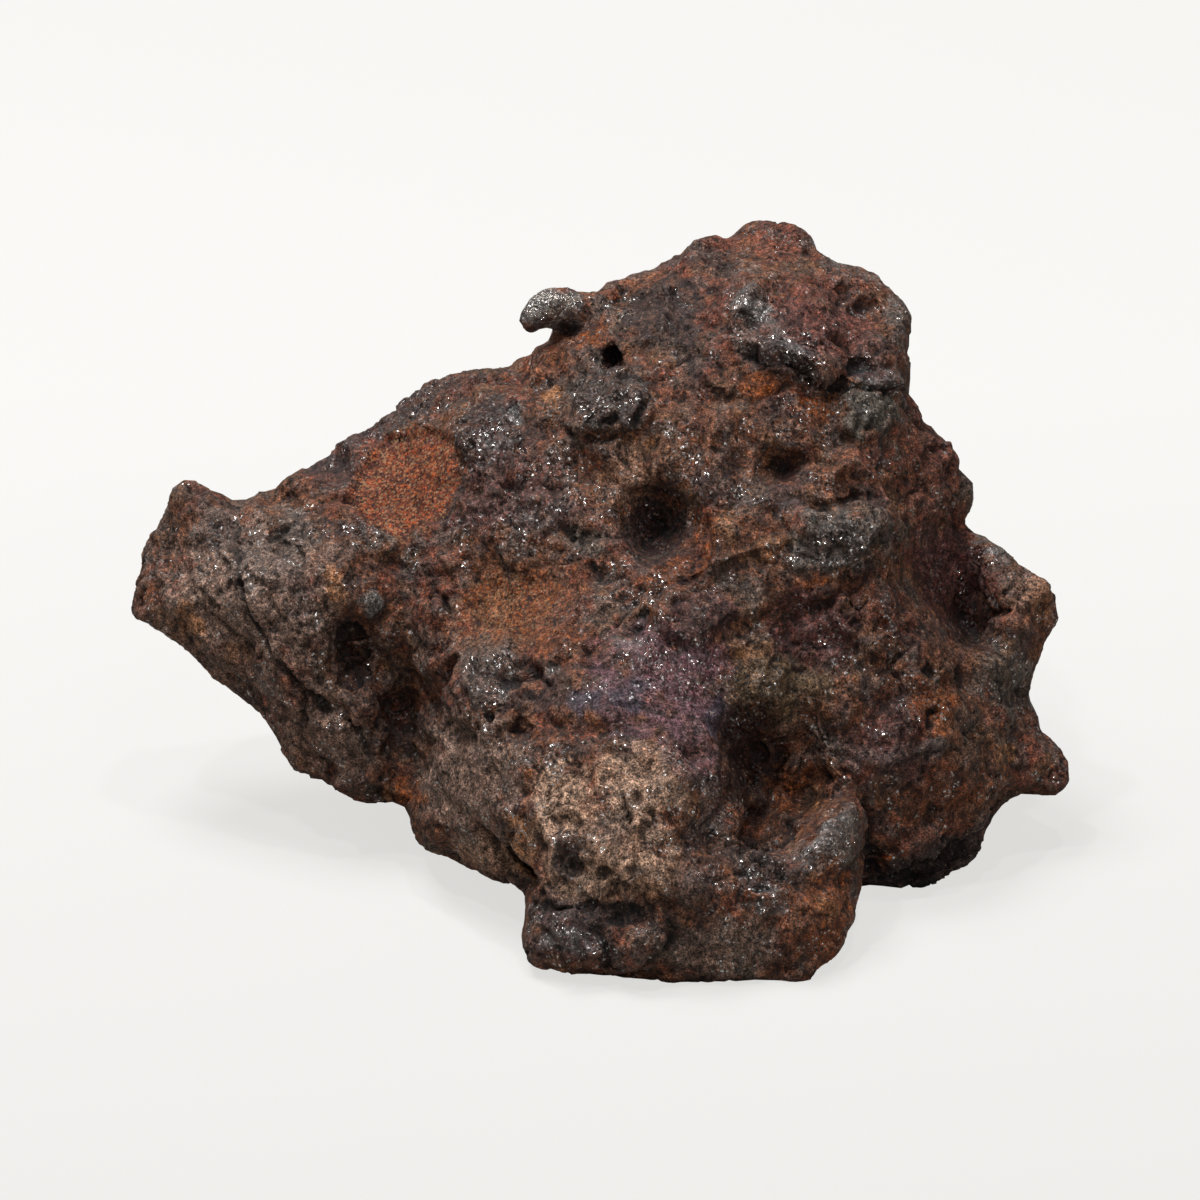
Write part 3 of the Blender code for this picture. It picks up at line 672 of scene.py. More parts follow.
# %% Stand it up
world = to_world(points)
FLAT_BAND = 0.35 * MM
world[floor_height * MM < FLAT_BAND, 2] = 0
world[:, 2] = np.maximum(world[:, 2], 0)
print("stands from", world[:, 2].min(), "to", round(world[:, 2].max() / MM, 1), "mm")

# %% [markdown]
# ## Cavities
#
# Where the surface is hollow it is painted darker, as painted shade, and handling brightens what stands
# proud. The difference between a point and the average of its surroundings, along the normal, measures that.

# %% Hollow and proud places
fine_hollow = ((averaged(points, ends, 4) - points) * normals).sum(1)
broad_hollow = ((averaged(points, ends, 40) - points) * normals).sum(1)
cavity = np.clip(fine_hollow / 0.12, -1, 1) * 0.5 + np.clip(broad_hollow / 0.9, -1, 1) * 0.5
print("cavity", round(cavity.min(), 2), "to", round(cavity.max(), 2))

# %% [markdown]
# ## Paint
#
# The colour is laid on the points themselves, as a painter works on a plaster cast: a ground of rust
# brown, broken by clouds of redder and greyer oxide, and then each stain in its own place; some dark
# stains are painted shade in hollows and painted shadow under ledges. The paint is a colour attribute,
# so it goes with the mesh. Grain finer than the mesh is left to the material.

# %% Pigments
GAIN = 1.22                      # how much paler the pigment is than the stone in soft light
RICHER = 1.42                    # the sheen greys every colour, so pigments are richer than tones


def pigment(red, green, blue):
    """A tone as the eye sees it, 0 to 255, made a linear colour of pigment."""
    tone = np.array([red, green, blue]) / 255
    linear = np.where(tone <= 0.04045, tone / 12.92, ((tone + 0.055) / 1.055) ** 2.4)
    return np.clip(linear.mean() + RICHER * (linear - linear.mean()), 0.002, 1) * GAIN


RUST_BROWN = pigment(80, 53, 41)
RED_OXIDE = pigment(86, 51, 42)
# dark scale of the crust, also used below as painted shadow under ledges and on the heel
DARK_SCALE_AND_SHADE = pigment(45, 34, 32)
GREY_SCALE = pigment(74, 66, 62)
ORANGE_RUST = pigment(92, 54, 36)
SCAR_RUST = pigment(80, 43, 27)
OCHRE = pigment(112, 82, 63)
TAN = pigment(142, 120, 106)
VIOLET = pigment(74, 55, 60)
BLUE_VIOLET = pigment(52, 46, 53)
OLIVE = pigment(70, 57, 44)
GREEN_GREY = pigment(62, 58, 53)
PURPLE_BROWN = pigment(66, 42, 40)
SNOUT_GREY = pigment(97, 81, 73)
# deep brown rust, also used below as painted shade in the hollows and under overhangs
DEEP_BROWN_AND_SHADE = pigment(36, 19, 12)
BARE_METAL = pigment(170, 160, 150)
STEEL = pigment(84, 82, 80)

# %% The ground and its clouds
paint = np.tile(RUST_BROWN, (len(points), 1))


def blend_in(colour, amount):
    amount = np.clip(amount, 0, 1)[:, None]
    paint[:] = paint * (1 - amount) + colour * amount


blend_in(RED_OXIDE, 0.8 * cloud(9, 100, 0.0, 0.5))
blend_in(DARK_SCALE_AND_SHADE, 0.8 * cloud(6, 200, 0.0, 0.45))
blend_in(DEEP_BROWN_AND_SHADE, 0.7 * cloud(2.2, 250, 0.05, 0.5))
blend_in(GREY_SCALE, 0.6 * cloud(4, 300, 0.15, 0.5))
blend_in(OCHRE, 0.3 * cloud(3, 400, 0.35, 0.7))
blend_in(OLIVE, 0.3 * cloud(8, 500, 0.15, 0.6))

# %% Stains in their places
STAINS = [
    # pigment, (across, up), radii, turn, strength
    (SNOUT_GREY, (-45, 49), (13, 13), 0, 0.9),
    (SNOUT_GREY, (-36, 32), (9, 7), -30, 0.7),
    (SNOUT_GREY, (-17, 27), (9, 8), 0, 0.9),
    (TAN, (-14, 16.5), (6, 3), -15, 0.6),
    (TAN, (0, 17), (11, 8), 0, 0.6),
    (TAN, (-5.5, 24.5), (4, 5), 0, 1.0),
    (TAN, (5, 26), (7, 5), 0, 0.7),
    (OCHRE, (-9.5, 17), (1.8, 5), 20, 0.8),
    (OCHRE, (5.5, 12.5), (3, 2), 0, 0.5),
    (OLIVE, (22, 38), (8, 6), 0, 0.8),
    (ORANGE_RUST, (-11.5, 48), (9.5, 4.8), 28, 0.8),
    (OCHRE, (-13, 47.5), (4, 2), 28, 0.35),
    (ORANGE_RUST, (-4, 43), (6, 3), 0, 0.45),
    (ORANGE_RUST, (12, 55), (2.8, 5.5), -15, 0.9),
    (ORANGE_RUST, (8, 51.5), (5, 2), 10, 0.8),
    (ORANGE_RUST, (-1, 81.5), (3, 2.2), 0, 0.9),
    (ORANGE_RUST, (-7, 78.5), (4, 2.5), 0, 0.6),
    (ORANGE_RUST, (20, 75.6), (3.5, 2), 0, 0.9),
    (ORANGE_RUST, (28, 73), (2.6, 2.6), 0, 0.8),
    (ORANGE_RUST, (26, 51), (3, 1.2), 0, 0.7),
    (ORANGE_RUST, (42, 35), (3.5, 4), 0, 0.8),
    (ORANGE_RUST, (43, 24), (8, 4), 15, 0.5),
    (ORANGE_RUST, (28.5, 9.5), (4.5, 7), 0, 0.75),
    (ORANGE_RUST, (24, 25), (4, 4), 0, 0.7),
    (ORANGE_RUST, (36.5, 16), (2.6, 1.2), 30, 0.9),
    (ORANGE_RUST, (19, 12), (1.6, 1.4), 0, 0.8),
    (ORANGE_RUST, (-25, 24), (3.5, 2), 0, 0.8),
    (ORANGE_RUST, (18, 79.5), (1.4, 3), 0, 0.6),
    (OCHRE, (-27.2, 23.6), (1.3, 1.0), 0, 1.0),
    (OCHRE, (-52.5, 45.8), (1.6, 3.4), 25, 0.8),
    (OCHRE, (-33.8, 50.5), (1.3, 3.2), 10, 0.8),
    (OCHRE, (-5.6, 74.6), (1.8, 1.5), 0, 0.9),
    (OCHRE, (20, 54.5), (6, 1.8), 20, 0.5),
    (OCHRE, (15.5, 58), (1.6, 3.5), 0, 0.5),
    (OCHRE, (21, 65.5), (1.4, 1.8), 0, 0.6),
    (OCHRE, (6.6, 68.3), (1.2, 1.0), 0, 0.9),
    (OCHRE, (27.2, 23.8), (1.2, 1.4), 0, 1.0),
    (OCHRE, (56, 49), (2.5, 2.5), 0, 0.6),
    (OCHRE, (51.5, 29), (1.6, 1.6), 0, 0.8),
    (OCHRE, (57, 27), (2.5, 2), 0, 0.5),
    (OCHRE, (18, 42), (3, 1.6), 0, 0.5),
    (OCHRE, (28, 10.5), (1.8, 2), 0, 0.6),
    (OCHRE, (-46.5, 41.8), (2, 1.5), 0, 0.5),
    (VIOLET, (7, 38.5), (10.5, 8.5), 0, 0.75),
    (VIOLET, (11, 31), (5, 6), 0, 0.5),
    (VIOLET, (24, 84), (8, 5), 0, 0.35),
    (BLUE_VIOLET, (4, 37), (3.4, 2.2), 0, 0.9),
    (BLUE_VIOLET, (-2.2, 35.8), (2, 1.4), 20, 0.9),
    (BLUE_VIOLET, (14.6, 34), (1.8, 3), 0, 0.9),
    (PURPLE_BROWN, (27, 45), (7, 6), 0, 0.9),
    (PURPLE_BROWN, (45, 52), (6, 9), 20, 0.9),
    (RED_OXIDE, (25, 84), (12, 7), 0, 0.7),
    (RED_OXIDE, (22.5, 94.5), (4, 3), 0, 0.7),
    (RED_OXIDE, (42, 66), (6, 9), 0, 0.6),
    (OLIVE, (7, 84), (6, 6), 0, 0.5),
    (GREEN_GREY, (30, 56), (7, 4.5), 10, 0.95),
    (GREEN_GREY, (34, 72.5), (4.5, 4), 0, 0.95),
    (GREEN_GREY, (47, 63.5), (1.8, 4), 0, 0.7),
    (GREEN_GREY, (-9, 58.5), (4, 3), 0, 0.8),
    (GREEN_GREY, (-2, 55.5), (3, 3), 0, 0.7),
    (GREEN_GREY, (1, 74), (6, 5), 0, 0.7),
    (STEEL, (-28.8, 47.9), (2, 1.8), 0, 1.0),
    (GREY_SCALE, (-39.5, 57.5), (3, 3), 0, 0.6),
    (GREY_SCALE, (10.5, 48.5), (4, 2), 0, 0.7),
    (GREY_SCALE, (30, 19.5), (2.8, 4.5), -40, 0.95),
    (GREY_SCALE, (38, 29), (8, 2), 12, 0.8),
    (GREY_SCALE, (15, 5), (8, 5), 0, 0.6),
    (GREY_SCALE, (19, 86), (3, 3.5), 0, 0.8),
    (GREY_SCALE, (-14, 40), (5, 5), 0, 0.7),
    (GREY_SCALE, (38, 85.5), (2.2, 2.4), 0, 0.7),
    (GREY_SCALE, (-14, 63), (3, 4), 0, 0.5),
    (DARK_SCALE_AND_SHADE, (-27, 73), (12, 3.2), 32, 0.8),
    (DARK_SCALE_AND_SHADE, (-35, 65), (4, 3), 30, 0.7),
    (DARK_SCALE_AND_SHADE, (-14, 70), (4.5, 5), 0, 0.7),
    (DARK_SCALE_AND_SHADE, (35, 77), (5, 1.8), 0, 0.8),
    # painted shade in the small pit below the belly
    (DARK_SCALE_AND_SHADE, (-4, 17), (2.5, 4), 0, 0.9),
    (DARK_SCALE_AND_SHADE, (-4.5, 7.5), (4.5, 3.6), 0, 0.85),
    (DARK_SCALE_AND_SHADE, (20, 15), (5, 3), -25, 0.8),
    (DARK_SCALE_AND_SHADE, (12, 13), (3.5, 3), 0, 0.5),
    # painted shadow on the heel, under the east lobe's overhang
    (DARK_SCALE_AND_SHADE, (42, 14.5), (9, 2.6), 10, 0.95),
    # painted shade in the hollows: thumbprint, small hollow, snout slot, gully, right hollow, recess, crown
    # band, pit
    (DEEP_BROWN_AND_SHADE, (8, 57.5), (5, 5.5), 0, 0.75),
    (DEEP_BROWN_AND_SHADE, (22.3, 65), (3, 2.2), 0, 0.8),
    (DEEP_BROWN_AND_SHADE, (-31.8, 39.5), (2.2, 4.5), 12, 0.85),
    (RUST_BROWN, (-31.4, 43), (1.4, 1.5), 0, 0.8),
    (DEEP_BROWN_AND_SHADE, (18.5, 28), (4.5, 8), 8, 0.8),
    (DEEP_BROWN_AND_SHADE, (47.5, 45.5), (4, 5.5), 25, 0.7),
    (DEEP_BROWN_AND_SHADE, (-10, 32.5), (2.2, 1.8), -30, 0.7),
    (DEEP_BROWN_AND_SHADE, (31, 86.8), (4.5, 1.6), -15, 0.6),
    (DEEP_BROWN_AND_SHADE, (1.6, 79), (1.8, 2.2), 20, 0.9),
    # painted shadow under the hook and under the belly's ledge
    (DEEP_BROWN_AND_SHADE, (-3, 83.6), (3, 1.4), 0, 0.9),
    (DEEP_BROWN_AND_SHADE, (0, 10.3), (9, 1.2), 0, 0.8),
    (BARE_METAL, (-6.8, 86.2), (4.2, 2.6), 0, 0.75),
    # painted shade in the deepest part of the thumbprint
    (DEEP_BROWN_AND_SHADE, (6.6, 56.5), (3.4, 3.8), 0, 0.8),
    (DARK_SCALE_AND_SHADE, (1, 74), (6, 4), 0, 0.6),
    (PURPLE_BROWN, (12, 46), (6, 4), 0, 0.9),
    (DARK_SCALE_AND_SHADE, (13, 46), (4, 3), 0, 0.6),
    (DARK_SCALE_AND_SHADE, (8, 85), (6, 6), 0, 0.9),
    (DARK_SCALE_AND_SHADE, (-14, 69), (5, 6), 0, 0.6),
    # painted shade in the thumbprint and in the gully beside the belly
    (DARK_SCALE_AND_SHADE, (7, 57), (4.5, 5), 0, 0.6),
    (DEEP_BROWN_AND_SHADE, (19, 30), (5, 8), 8, 0.5),
    (OLIVE, (20, 37), (5, 4), 0, 0.3),
    (RUST_BROWN, (3, 64), (4, 4), 0, 0.7),
    (TAN, (5, 15), (4, 3.5), 0, 0.5),
    (GREY_SCALE, (2, 21), (4, 2), 30, 0.5),
    (SNOUT_GREY, (15, 6), (7, 4), 0, 0.5),
    (DARK_SCALE_AND_SHADE, (30, 55.5), (5.5, 3.5), 10, 0.5),
    # painted shade in the thumbprint
    (DEEP_BROWN_AND_SHADE, (7.5, 57), (4.5, 5), 0, 0.8),
    (RUST_BROWN, (9, 50), (5, 2.5), 0, 0.5),
    # painted shadow under the belly's ledge
    (DARK_SCALE_AND_SHADE, (-2, 10), (9, 1.8), 0, 0.8),
    (PURPLE_BROWN, (-4, 6), (4, 3), 0, 0.7),
    # painted shadow on the heel
    (DARK_SCALE_AND_SHADE, (42, 14.6), (10, 3.2), 22, 0.9),
    (GREY_SCALE, (18.5, 81.5), (2, 3.5), 10, 0.6),
    (GREY_SCALE, (21, 83.5), (2.4, 6), 40, 0.7),
    # painted shadow under the crown's overhang
    (DARK_SCALE_AND_SHADE, (24, 80.4), (4.5, 1.8), -22, 0.8),
    (DARK_SCALE_AND_SHADE, (24, 77.2), (7, 1.2), -18, 0.6),
    (SNOUT_GREY, (54, 50), (3.5, 3.5), 0, 0.5),
    (TAN, (3, 64), (4, 5), 0, 0.25),
    (DEEP_BROWN_AND_SHADE, (42, 70), (4, 6), 0, 0.3),
    (DARK_SCALE_AND_SHADE, (-48, 57), (4, 3), 0, 0.5),
    (DARK_SCALE_AND_SHADE, (-39, 50), (2.5, 5), 20, 0.45),
    (GREY_SCALE, (-43, 53), (5, 4), 0, 0.5),
    (DEEP_BROWN_AND_SHADE, (-29.5, 36), (3, 5), 15, 0.5),
    (DEEP_BROWN_AND_SHADE, (12, 46), (5, 3), 0, 0.45),
    (DEEP_BROWN_AND_SHADE, (30, 55.5), (5, 3), 0, 0.3),
    (DARK_SCALE_AND_SHADE, (42, 27), (9, 4), 15, 0.25),
    (PURPLE_BROWN, (36, 30), (6, 6), 0, 0.5),
    (GREEN_GREY, (52, 38), (3.5, 5), 0, 0.6),
    (PURPLE_BROWN, (-12, 62), (9, 7), 0, 0.6),
    (DEEP_BROWN_AND_SHADE, (11, 54), (5, 6), 0, 0.35),
    (DEEP_BROWN_AND_SHADE, (1, 74), (6, 5), 0, 0.5),
    (DEEP_BROWN_AND_SHADE, (-14, 69), (5, 6), 0, 0.5),
    (DEEP_BROWN_AND_SHADE, (-11, 48), (10, 5.5), 28, 0.2),
    (PURPLE_BROWN, (30, 82), (10, 5), -25, 0.5),
    (DEEP_BROWN_AND_SHADE, (8, 85), (6, 5), 0, 0.35),
]
stain_wobble = noise_vectors(points + 60, 1.8)
place = points[:, :2] + 1.1 * stain_wobble[:, :2] + WOBBLE * wobble[:, :2]
front = facing                   # paint can't smear, so it goes right up to the edge
ragged = 1.1 * noise_values(points + 700, 2.2, 4)
for colour, middle, radii, turn, strength in STAINS:
    inside = oval(middle, radii, turn)
    blend_in(colour, strength * np.clip(1.5 * inside + ragged * np.clip(4 * inside, 0, 1), 0, 1))
# Painted shadow: the lip over the lower right lobe shades a band under itself, painted here in dark scale.
UNDERCUT_SHADOW = [
    (33.5, 12.8), (37, 15), (41, 16.8), (46.6, 19.6), (51, 21.5), (49.5, 16.5), (47, 13), (43, 10.5),
    (36, 10),
]
blend_in(DARK_SCALE_AND_SHADE * 0.8, 0.85 * patch(UNDERCUT_SHADOW, 1.0))
scar_here = patch(SCAR, 0.5)
blend_in(SCAR_RUST, scar_here)
granular = np.maximum(scar_here, 0.7 * np.clip(2 * oval((-11.5, 48), (10, 5.5), 28), 0, 1))
print("stains", len(STAINS))

# %% Painted shade in the hollows, cracks and pits, paler proud edges
speckle = noise_values(points + 900, 0.9, 3)
paint *= (1 + 0.5 * speckle)[:, None]
shaded_hollows = np.clip(cavity, 0, 1)
proud = np.clip(-cavity, 0, 1)
# painted shade: the hollows are darkened
paint *= (1 - 0.75 * shaded_hollows)[:, None]
paint += (0.35 * proud)[:, None] * (GREY_SCALE - paint) * 0.8
# painted shade in the pits and nicks, and below it in the cracks and splits
paint *= (1 - 0.5 * np.clip(nicks / 0.2, 0, 1))[:, None]
paint *= (1 - 0.6 * np.clip(np.maximum(crack / 0.8, splits), 0, 1))[:, None]
paint = np.clip(paint, 0.004, 1)

# %% [markdown]
# ## Where it glints
#
# The dark scale is glassy and catches small sharp lights, while rust is quite dull. One painted value
# per point says how glossy the crust is there, and another how much bare metal shows.

# %% Gloss and metal
gloss *= 1 - 0.6 * scar_here
gloss *= 1 - 0.7 * np.clip(oval((-11, 48), (11, 6), 28) * 2, 0, 1)
gloss *= 1 - 0.6 * shaded_hollows
SHEENS = [
    # (across, up), radii, turn, how metallic
    ((-6.8, 86.2), (5.0, 3.2), 0, 1.0), ((18.9, 86.4), (1.8, 3.0), 32, 1.0), ((22.5, 82.2), (1.1, 3.6), 42, 0.6), ((27.8, 19), (1.5, 6), -42, 0.6), ((27.6, 19.6), (0.6, 5), -42, 1.0),
    ((-3.5, 6.4), (4.4, 2.0), 0, 1.0), ((-11.5, 72.5), (2, 1.6), 0, 0.9), ((50.5, 56), (3, 1.5), -40, 0.8),
    ((34, 91), (6, 1.6), -20, 0.35), ((-13, 68.5), (3, 1.5), 0, 0.4), ((21, 11.5), (3.5, 2), 0, 0.35),
    ((36, 76.5), (4, 1.4), 0, 0.4), ((3, 43), (3, 1.2), 0, 0.35), ((26, 60), (5, 1.4), 0, 0.25),
]
metal = np.zeros(len(points))
for middle, radii, turn, amount in SHEENS:
    metal = np.maximum(metal, amount * np.clip(1.6 * oval(middle, radii, turn), 0, 1))
gloss = np.maximum(gloss, metal)
streaks = noise_values(drawn_out(points, (1, 0.25, 0), 3), 0.9, 3)
streaks = np.maximum(np.clip(0.45 + 1.6 * streaks, 0.1, 1), oval((-6.8, 86.2), (6, 4)))
metal *= streaks
print("gloss", round(gloss.min(), 2), "to", round(gloss.max(), 2))

# %% [markdown]
# ## Fewer triangles
#
# The even grid spends as much on smooth places as on cracks. A Decimate modifier in collapse
# mode takes edges away where the surface hardly bends, and carries the painted attributes along.

# %% Thin the mesh and name it
MOST_TRIANGLES = 192000


def add_values(mesh, name, values):
    layer = mesh.attributes.new(name, "FLOAT", "POINT")
    layer.data.foreach_set("value", values.astype(np.float32))


write(skin, world)
coat = skin.attributes.new("paint", "FLOAT_COLOR", "POINT")
coat.data.foreach_set("color", np.c_[paint, np.ones(len(paint))].astype(np.float32).ravel())
add_values(skin, "gloss", gloss)
add_values(skin, "metal", metal)
add_values(skin, "scar", granular)
skin.calc_loop_triangles()
share = min(1.0, MOST_TRIANGLES / len(skin.loop_triangles))
print("triangles before", len(skin.loop_triangles), "share kept", round(share, 2))
easy_to_thin = np.where(front > 0.3, 0.3, 1.0)
fine = evaluated_mesh(skin, "DECIMATE", easy_to_thin, ratio=share, use_collapse_triangulate=True,
                      vertex_group_factor=0.012)
flat = read(fine, "co")
flat[:, 2] = np.maximum(flat[:, 2], 0)
write(fine, flat)
fine.name = "meteorite_stone"
fine.materials.clear()
stone = bpy.data.objects.new("meteorite_stone", fine)
bpy.context.scene.collection.objects.link(stone)
fine.shade_smooth()
print("stone", len(fine.vertices), "points,", len(fine.polygons), "triangles")

# %% [markdown]
# ## The material
#
# One Principled shader covers the stone. The painted colour is broken by grain finer than the mesh:
# a cloudy noise, mineral grains a third of a millimetre wide, and fibres. Each grain is a tiny flake
# that leans its own way, so a few of them flash in the light, as they do on rust. The same flakes
# make the relief, so that colour and relief agree. Effects are node groups, so they can be reused.

# %% Node helpers
def new_group(name, inputs, outputs):
    """An empty node group with named float, vector or colour sockets."""
    tree = bpy.data.node_groups.new(name, "ShaderNodeTree")
    for label, kind in inputs:
        tree.interface.new_socket(label, in_out="INPUT", socket_type=kind)
    for label, kind in outputs:
        tree.interface.new_socket(label, in_out="OUTPUT", socket_type=kind)
    return tree, tree.nodes.new("NodeGroupInput"), tree.nodes.new("NodeGroupOutput")


def put(tree, socket, value):
    """A socket takes another node's output, or a plain value."""
    if isinstance(value, bpy.types.NodeSocket):
        tree.links.new(value, socket)
    else:
        socket.default_value = value


def calculate(tree, operation, first, second=0.0, clamp=False):
    node = tree.nodes.new("ShaderNodeMath")
    node.operation = operation
    node.use_clamp = clamp
    put(tree, node.inputs[0], first)
    put(tree, node.inputs[1], second)
    return node.outputs[0]


def vectors(tree, operation, first, second, output=0):
    node = tree.nodes.new("ShaderNodeVectorMath")
    node.operation = operation
    put(tree, node.inputs[0], first)
    put(tree, node.inputs[1], second)
    return node.outputs[output]


def ramp(tree, value, low, high, to_low=0.0, to_high=1.0):
    node = tree.nodes.new("ShaderNodeMapRange")
    for label, setting in (("Value", value), ("From Min", low), ("From Max", high),
                           ("To Min", to_low), ("To Max", to_high)):
        put(tree, node.inputs[label], setting)
    return node.outputs["Result"]


def mixed(tree, blend, amount, first, second):
    node = tree.nodes.new("ShaderNodeMix")
    node.data_type = "RGBA"
    node.blend_type = blend
    for label, setting in (("Factor_Float", amount), ("A_Color", first), ("B_Color", second)):
        put(tree, next(socket for socket in node.inputs if socket.identifier == label), setting)
    return next(socket for socket in node.outputs if socket.identifier == "Result_Color")


def cloudy(tree, vector, scale, detail, roughness):
    node = tree.nodes.new("ShaderNodeTexNoise")
    put(tree, node.inputs["Vector"], vector)
    node.inputs["Scale"].default_value = scale
    node.inputs["Detail"].default_value = detail
    node.inputs["Roughness"].default_value = roughness
    return node.outputs["Fac"]


# %% Flakes: a group of tiny leaning facets
flakes, flakes_in, flakes_out = new_group(
    "leaning flakes",
    [("Vector", "NodeSocketVector"), ("Scale", "NodeSocketFloat"), ("Lean", "NodeSocketFloat")],
    [("Height", "NodeSocketFloat"), ("Random", "NodeSocketFloat"), ("Random 2", "NodeSocketFloat")],
)
cells = flakes.nodes.new("ShaderNodeTexVoronoi")
put(flakes, cells.inputs["Vector"], flakes_in.outputs["Vector"])
put(flakes, cells.inputs["Scale"], flakes_in.outputs["Scale"])
tilt = vectors(flakes, "SUBTRACT", cells.outputs["Color"], (0.5, 0.5, 0.5))
from_middle = vectors(flakes, "SUBTRACT", flakes_in.outputs["Vector"], cells.outputs["Position"])
slope = vectors(flakes, "DOT_PRODUCT", from_middle, tilt, "Value")
put(flakes, flakes_out.inputs["Height"], calculate(flakes, "MULTIPLY", slope, flakes_in.outputs["Lean"]))
parts = flakes.nodes.new("ShaderNodeSeparateColor")
put(flakes, parts.inputs[0], cells.outputs["Color"])
put(flakes, flakes_out.inputs["Random"], parts.outputs[0])
put(flakes, flakes_out.inputs["Random 2"], parts.outputs[1])

# %% Fibres: a group of fine lines drawn out down the face
fibre, fibre_in, fibre_out = new_group(
    "iron fibres", [("Vector", "NodeSocketVector"), ("Scale", "NodeSocketFloat")],
    [("Value", "NodeSocketFloat")],
)
bend = fibre.nodes.new("ShaderNodeTexNoise")
put(fibre, bend.inputs["Vector"], fibre_in.outputs["Vector"])
bend.inputs["Scale"].default_value = 140
bent = vectors(fibre, "SCALE", bend.outputs["Color"], (0, 0, 0))
bent.node.inputs["Scale"].default_value = 0.004
turn_fibre = fibre.nodes.new("ShaderNodeMapping")
turn_fibre.inputs["Rotation"].default_value = (LEAN, 0, math.radians(14))
turn_fibre.inputs["Scale"].default_value = (1, 1, 0.16)
put(fibre, turn_fibre.inputs["Vector"], vectors(fibre, "ADD", fibre_in.outputs["Vector"], bent))
lines = fibre.nodes.new("ShaderNodeTexNoise")
put(fibre, lines.inputs["Vector"], turn_fibre.outputs["Vector"])
put(fibre, lines.inputs["Scale"], fibre_in.outputs["Scale"])
lines.inputs["Detail"].default_value = 3
lines.inputs["Roughness"].default_value = 0.6
put(fibre, fibre_out.inputs["Value"], lines.outputs["Fac"])


# %% Pores: a group of tiny round holes that gather in patches
pores, pores_in, pores_out = new_group(
    "rust pores", [("Vector", "NodeSocketVector"), ("Scale", "NodeSocketFloat")],
    [("Value", "NodeSocketFloat")],
)
holes = pores.nodes.new("ShaderNodeTexVoronoi")
put(pores, holes.inputs["Vector"], pores_in.outputs["Vector"])
put(pores, holes.inputs["Scale"], pores_in.outputs["Scale"])
hole = ramp(pores, holes.outputs["Distance"], 0.18, 0.38, 1.0, 0.0)
gather = ramp(pores, cloudy(pores, pores_in.outputs["Vector"], 260, 2, 0.5), 0.42, 0.58)
put(pores, pores_out.inputs["Value"], calculate(pores, "MULTIPLY", hole, gather))


def use_group(tree, group, **values):
    node = tree.nodes.new("ShaderNodeGroup")
    node.node_tree = group
    for label, value in values.items():
        put(tree, node.inputs[label], value)
    return node.outputs


# %% Grain, flecks and glints
material = bpy.data.materials.new("rusted_iron")
material.use_nodes = True
iron = material.node_tree
shader = iron.nodes["Principled BSDF"]
where = iron.nodes.new("ShaderNodeTexCoord").outputs["Object"]


def attribute(name, output):
    node = iron.nodes.new("ShaderNodeAttribute")
    node.attribute_name = name
    return node.outputs[output]


painted = attribute("paint", "Color")
gloss_here = attribute("gloss", "Fac")
metal_here = attribute("metal", "Fac")
scar_value = attribute("scar", "Fac")

fine_cloud = cloudy(iron, where, 1100, 6, 0.72)
tiny_cloud = cloudy(iron, where, 4800, 2, 0.5)
big_flakes = use_group(iron, flakes, Vector=where, Scale=1300.0, Lean=0.7)
small_flakes = use_group(iron, flakes, Vector=where, Scale=3800.0, Lean=1.0)
lines_here = use_group(iron, fibre, Vector=where, Scale=1900.0)["Value"]
pores_here = use_group(iron, pores, Vector=where, Scale=1150.0)["Value"]

line_depth = ramp(iron, scar_value, 0, 1, 0.45, 0.1)
line_shade = calculate(iron, "MULTIPLY", ramp(iron, lines_here, 0.3, 0.7, -1, 1), line_depth)
grain_depth = ramp(iron, scar_value, 0, 1, 0.2, 0.85)
grain_shade = calculate(iron, "MULTIPLY", ramp(iron, small_flakes["Random"], 0, 1, -1, 1), grain_depth)
shade = ramp(iron, fine_cloud, 0.32, 0.68, 0.16, 1.90)
for step in (calculate(iron, "ADD", 1.0, line_shade), calculate(iron, "ADD", 1.0, grain_shade),
             ramp(iron, tiny_cloud, 0.35, 0.65, 0.20, 1.84), ramp(iron, pores_here, 0, 1, 1.0, 0.3)):
    shade = calculate(iron, "MULTIPLY", shade, step)
shade_colour = iron.nodes.new("ShaderNodeCombineColor")
for socket in shade_colour.inputs[:3]:
    put(iron, socket, shade)
coloured = mixed(iron, "MULTIPLY", 1.0, painted, shade_colour.outputs[0])

fleck = calculate(iron, "MULTIPLY", ramp(iron, small_flakes["Random 2"], 0.92, 0.97),
                  ramp(iron, fine_cloud, 0.5, 0.6))
coloured = mixed(iron, "MIX", calculate(iron, "MULTIPLY", fleck, 0.6), coloured, (0.34, 0.25, 0.18, 1))
scar_grain = calculate(iron, "MULTIPLY", ramp(iron, small_flakes["Random 2"], 0.72, 0.80), scar_value)
coloured = mixed(iron, "MIX", calculate(iron, "MULTIPLY", scar_grain, 0.55), coloured, (0.36, 0.19, 0.09, 1))
glint = calculate(iron, "MULTIPLY", ramp(iron, small_flakes["Random 2"], 0.13, 0.09), gloss_here)
glint = calculate(iron, "MULTIPLY", ramp(iron, glint, 0.25, 0.5), ramp(iron, fine_cloud, 0.44, 0.5))
coloured = mixed(iron, "MIX", calculate(iron, "MULTIPLY", metal_here, 0.6), coloured, (0.30, 0.29, 0.285, 1))
coloured = mixed(iron, "MIX", glint, coloured, (0.55, 0.54, 0.53, 1))
put(iron, shader.inputs["Base Color"], coloured)

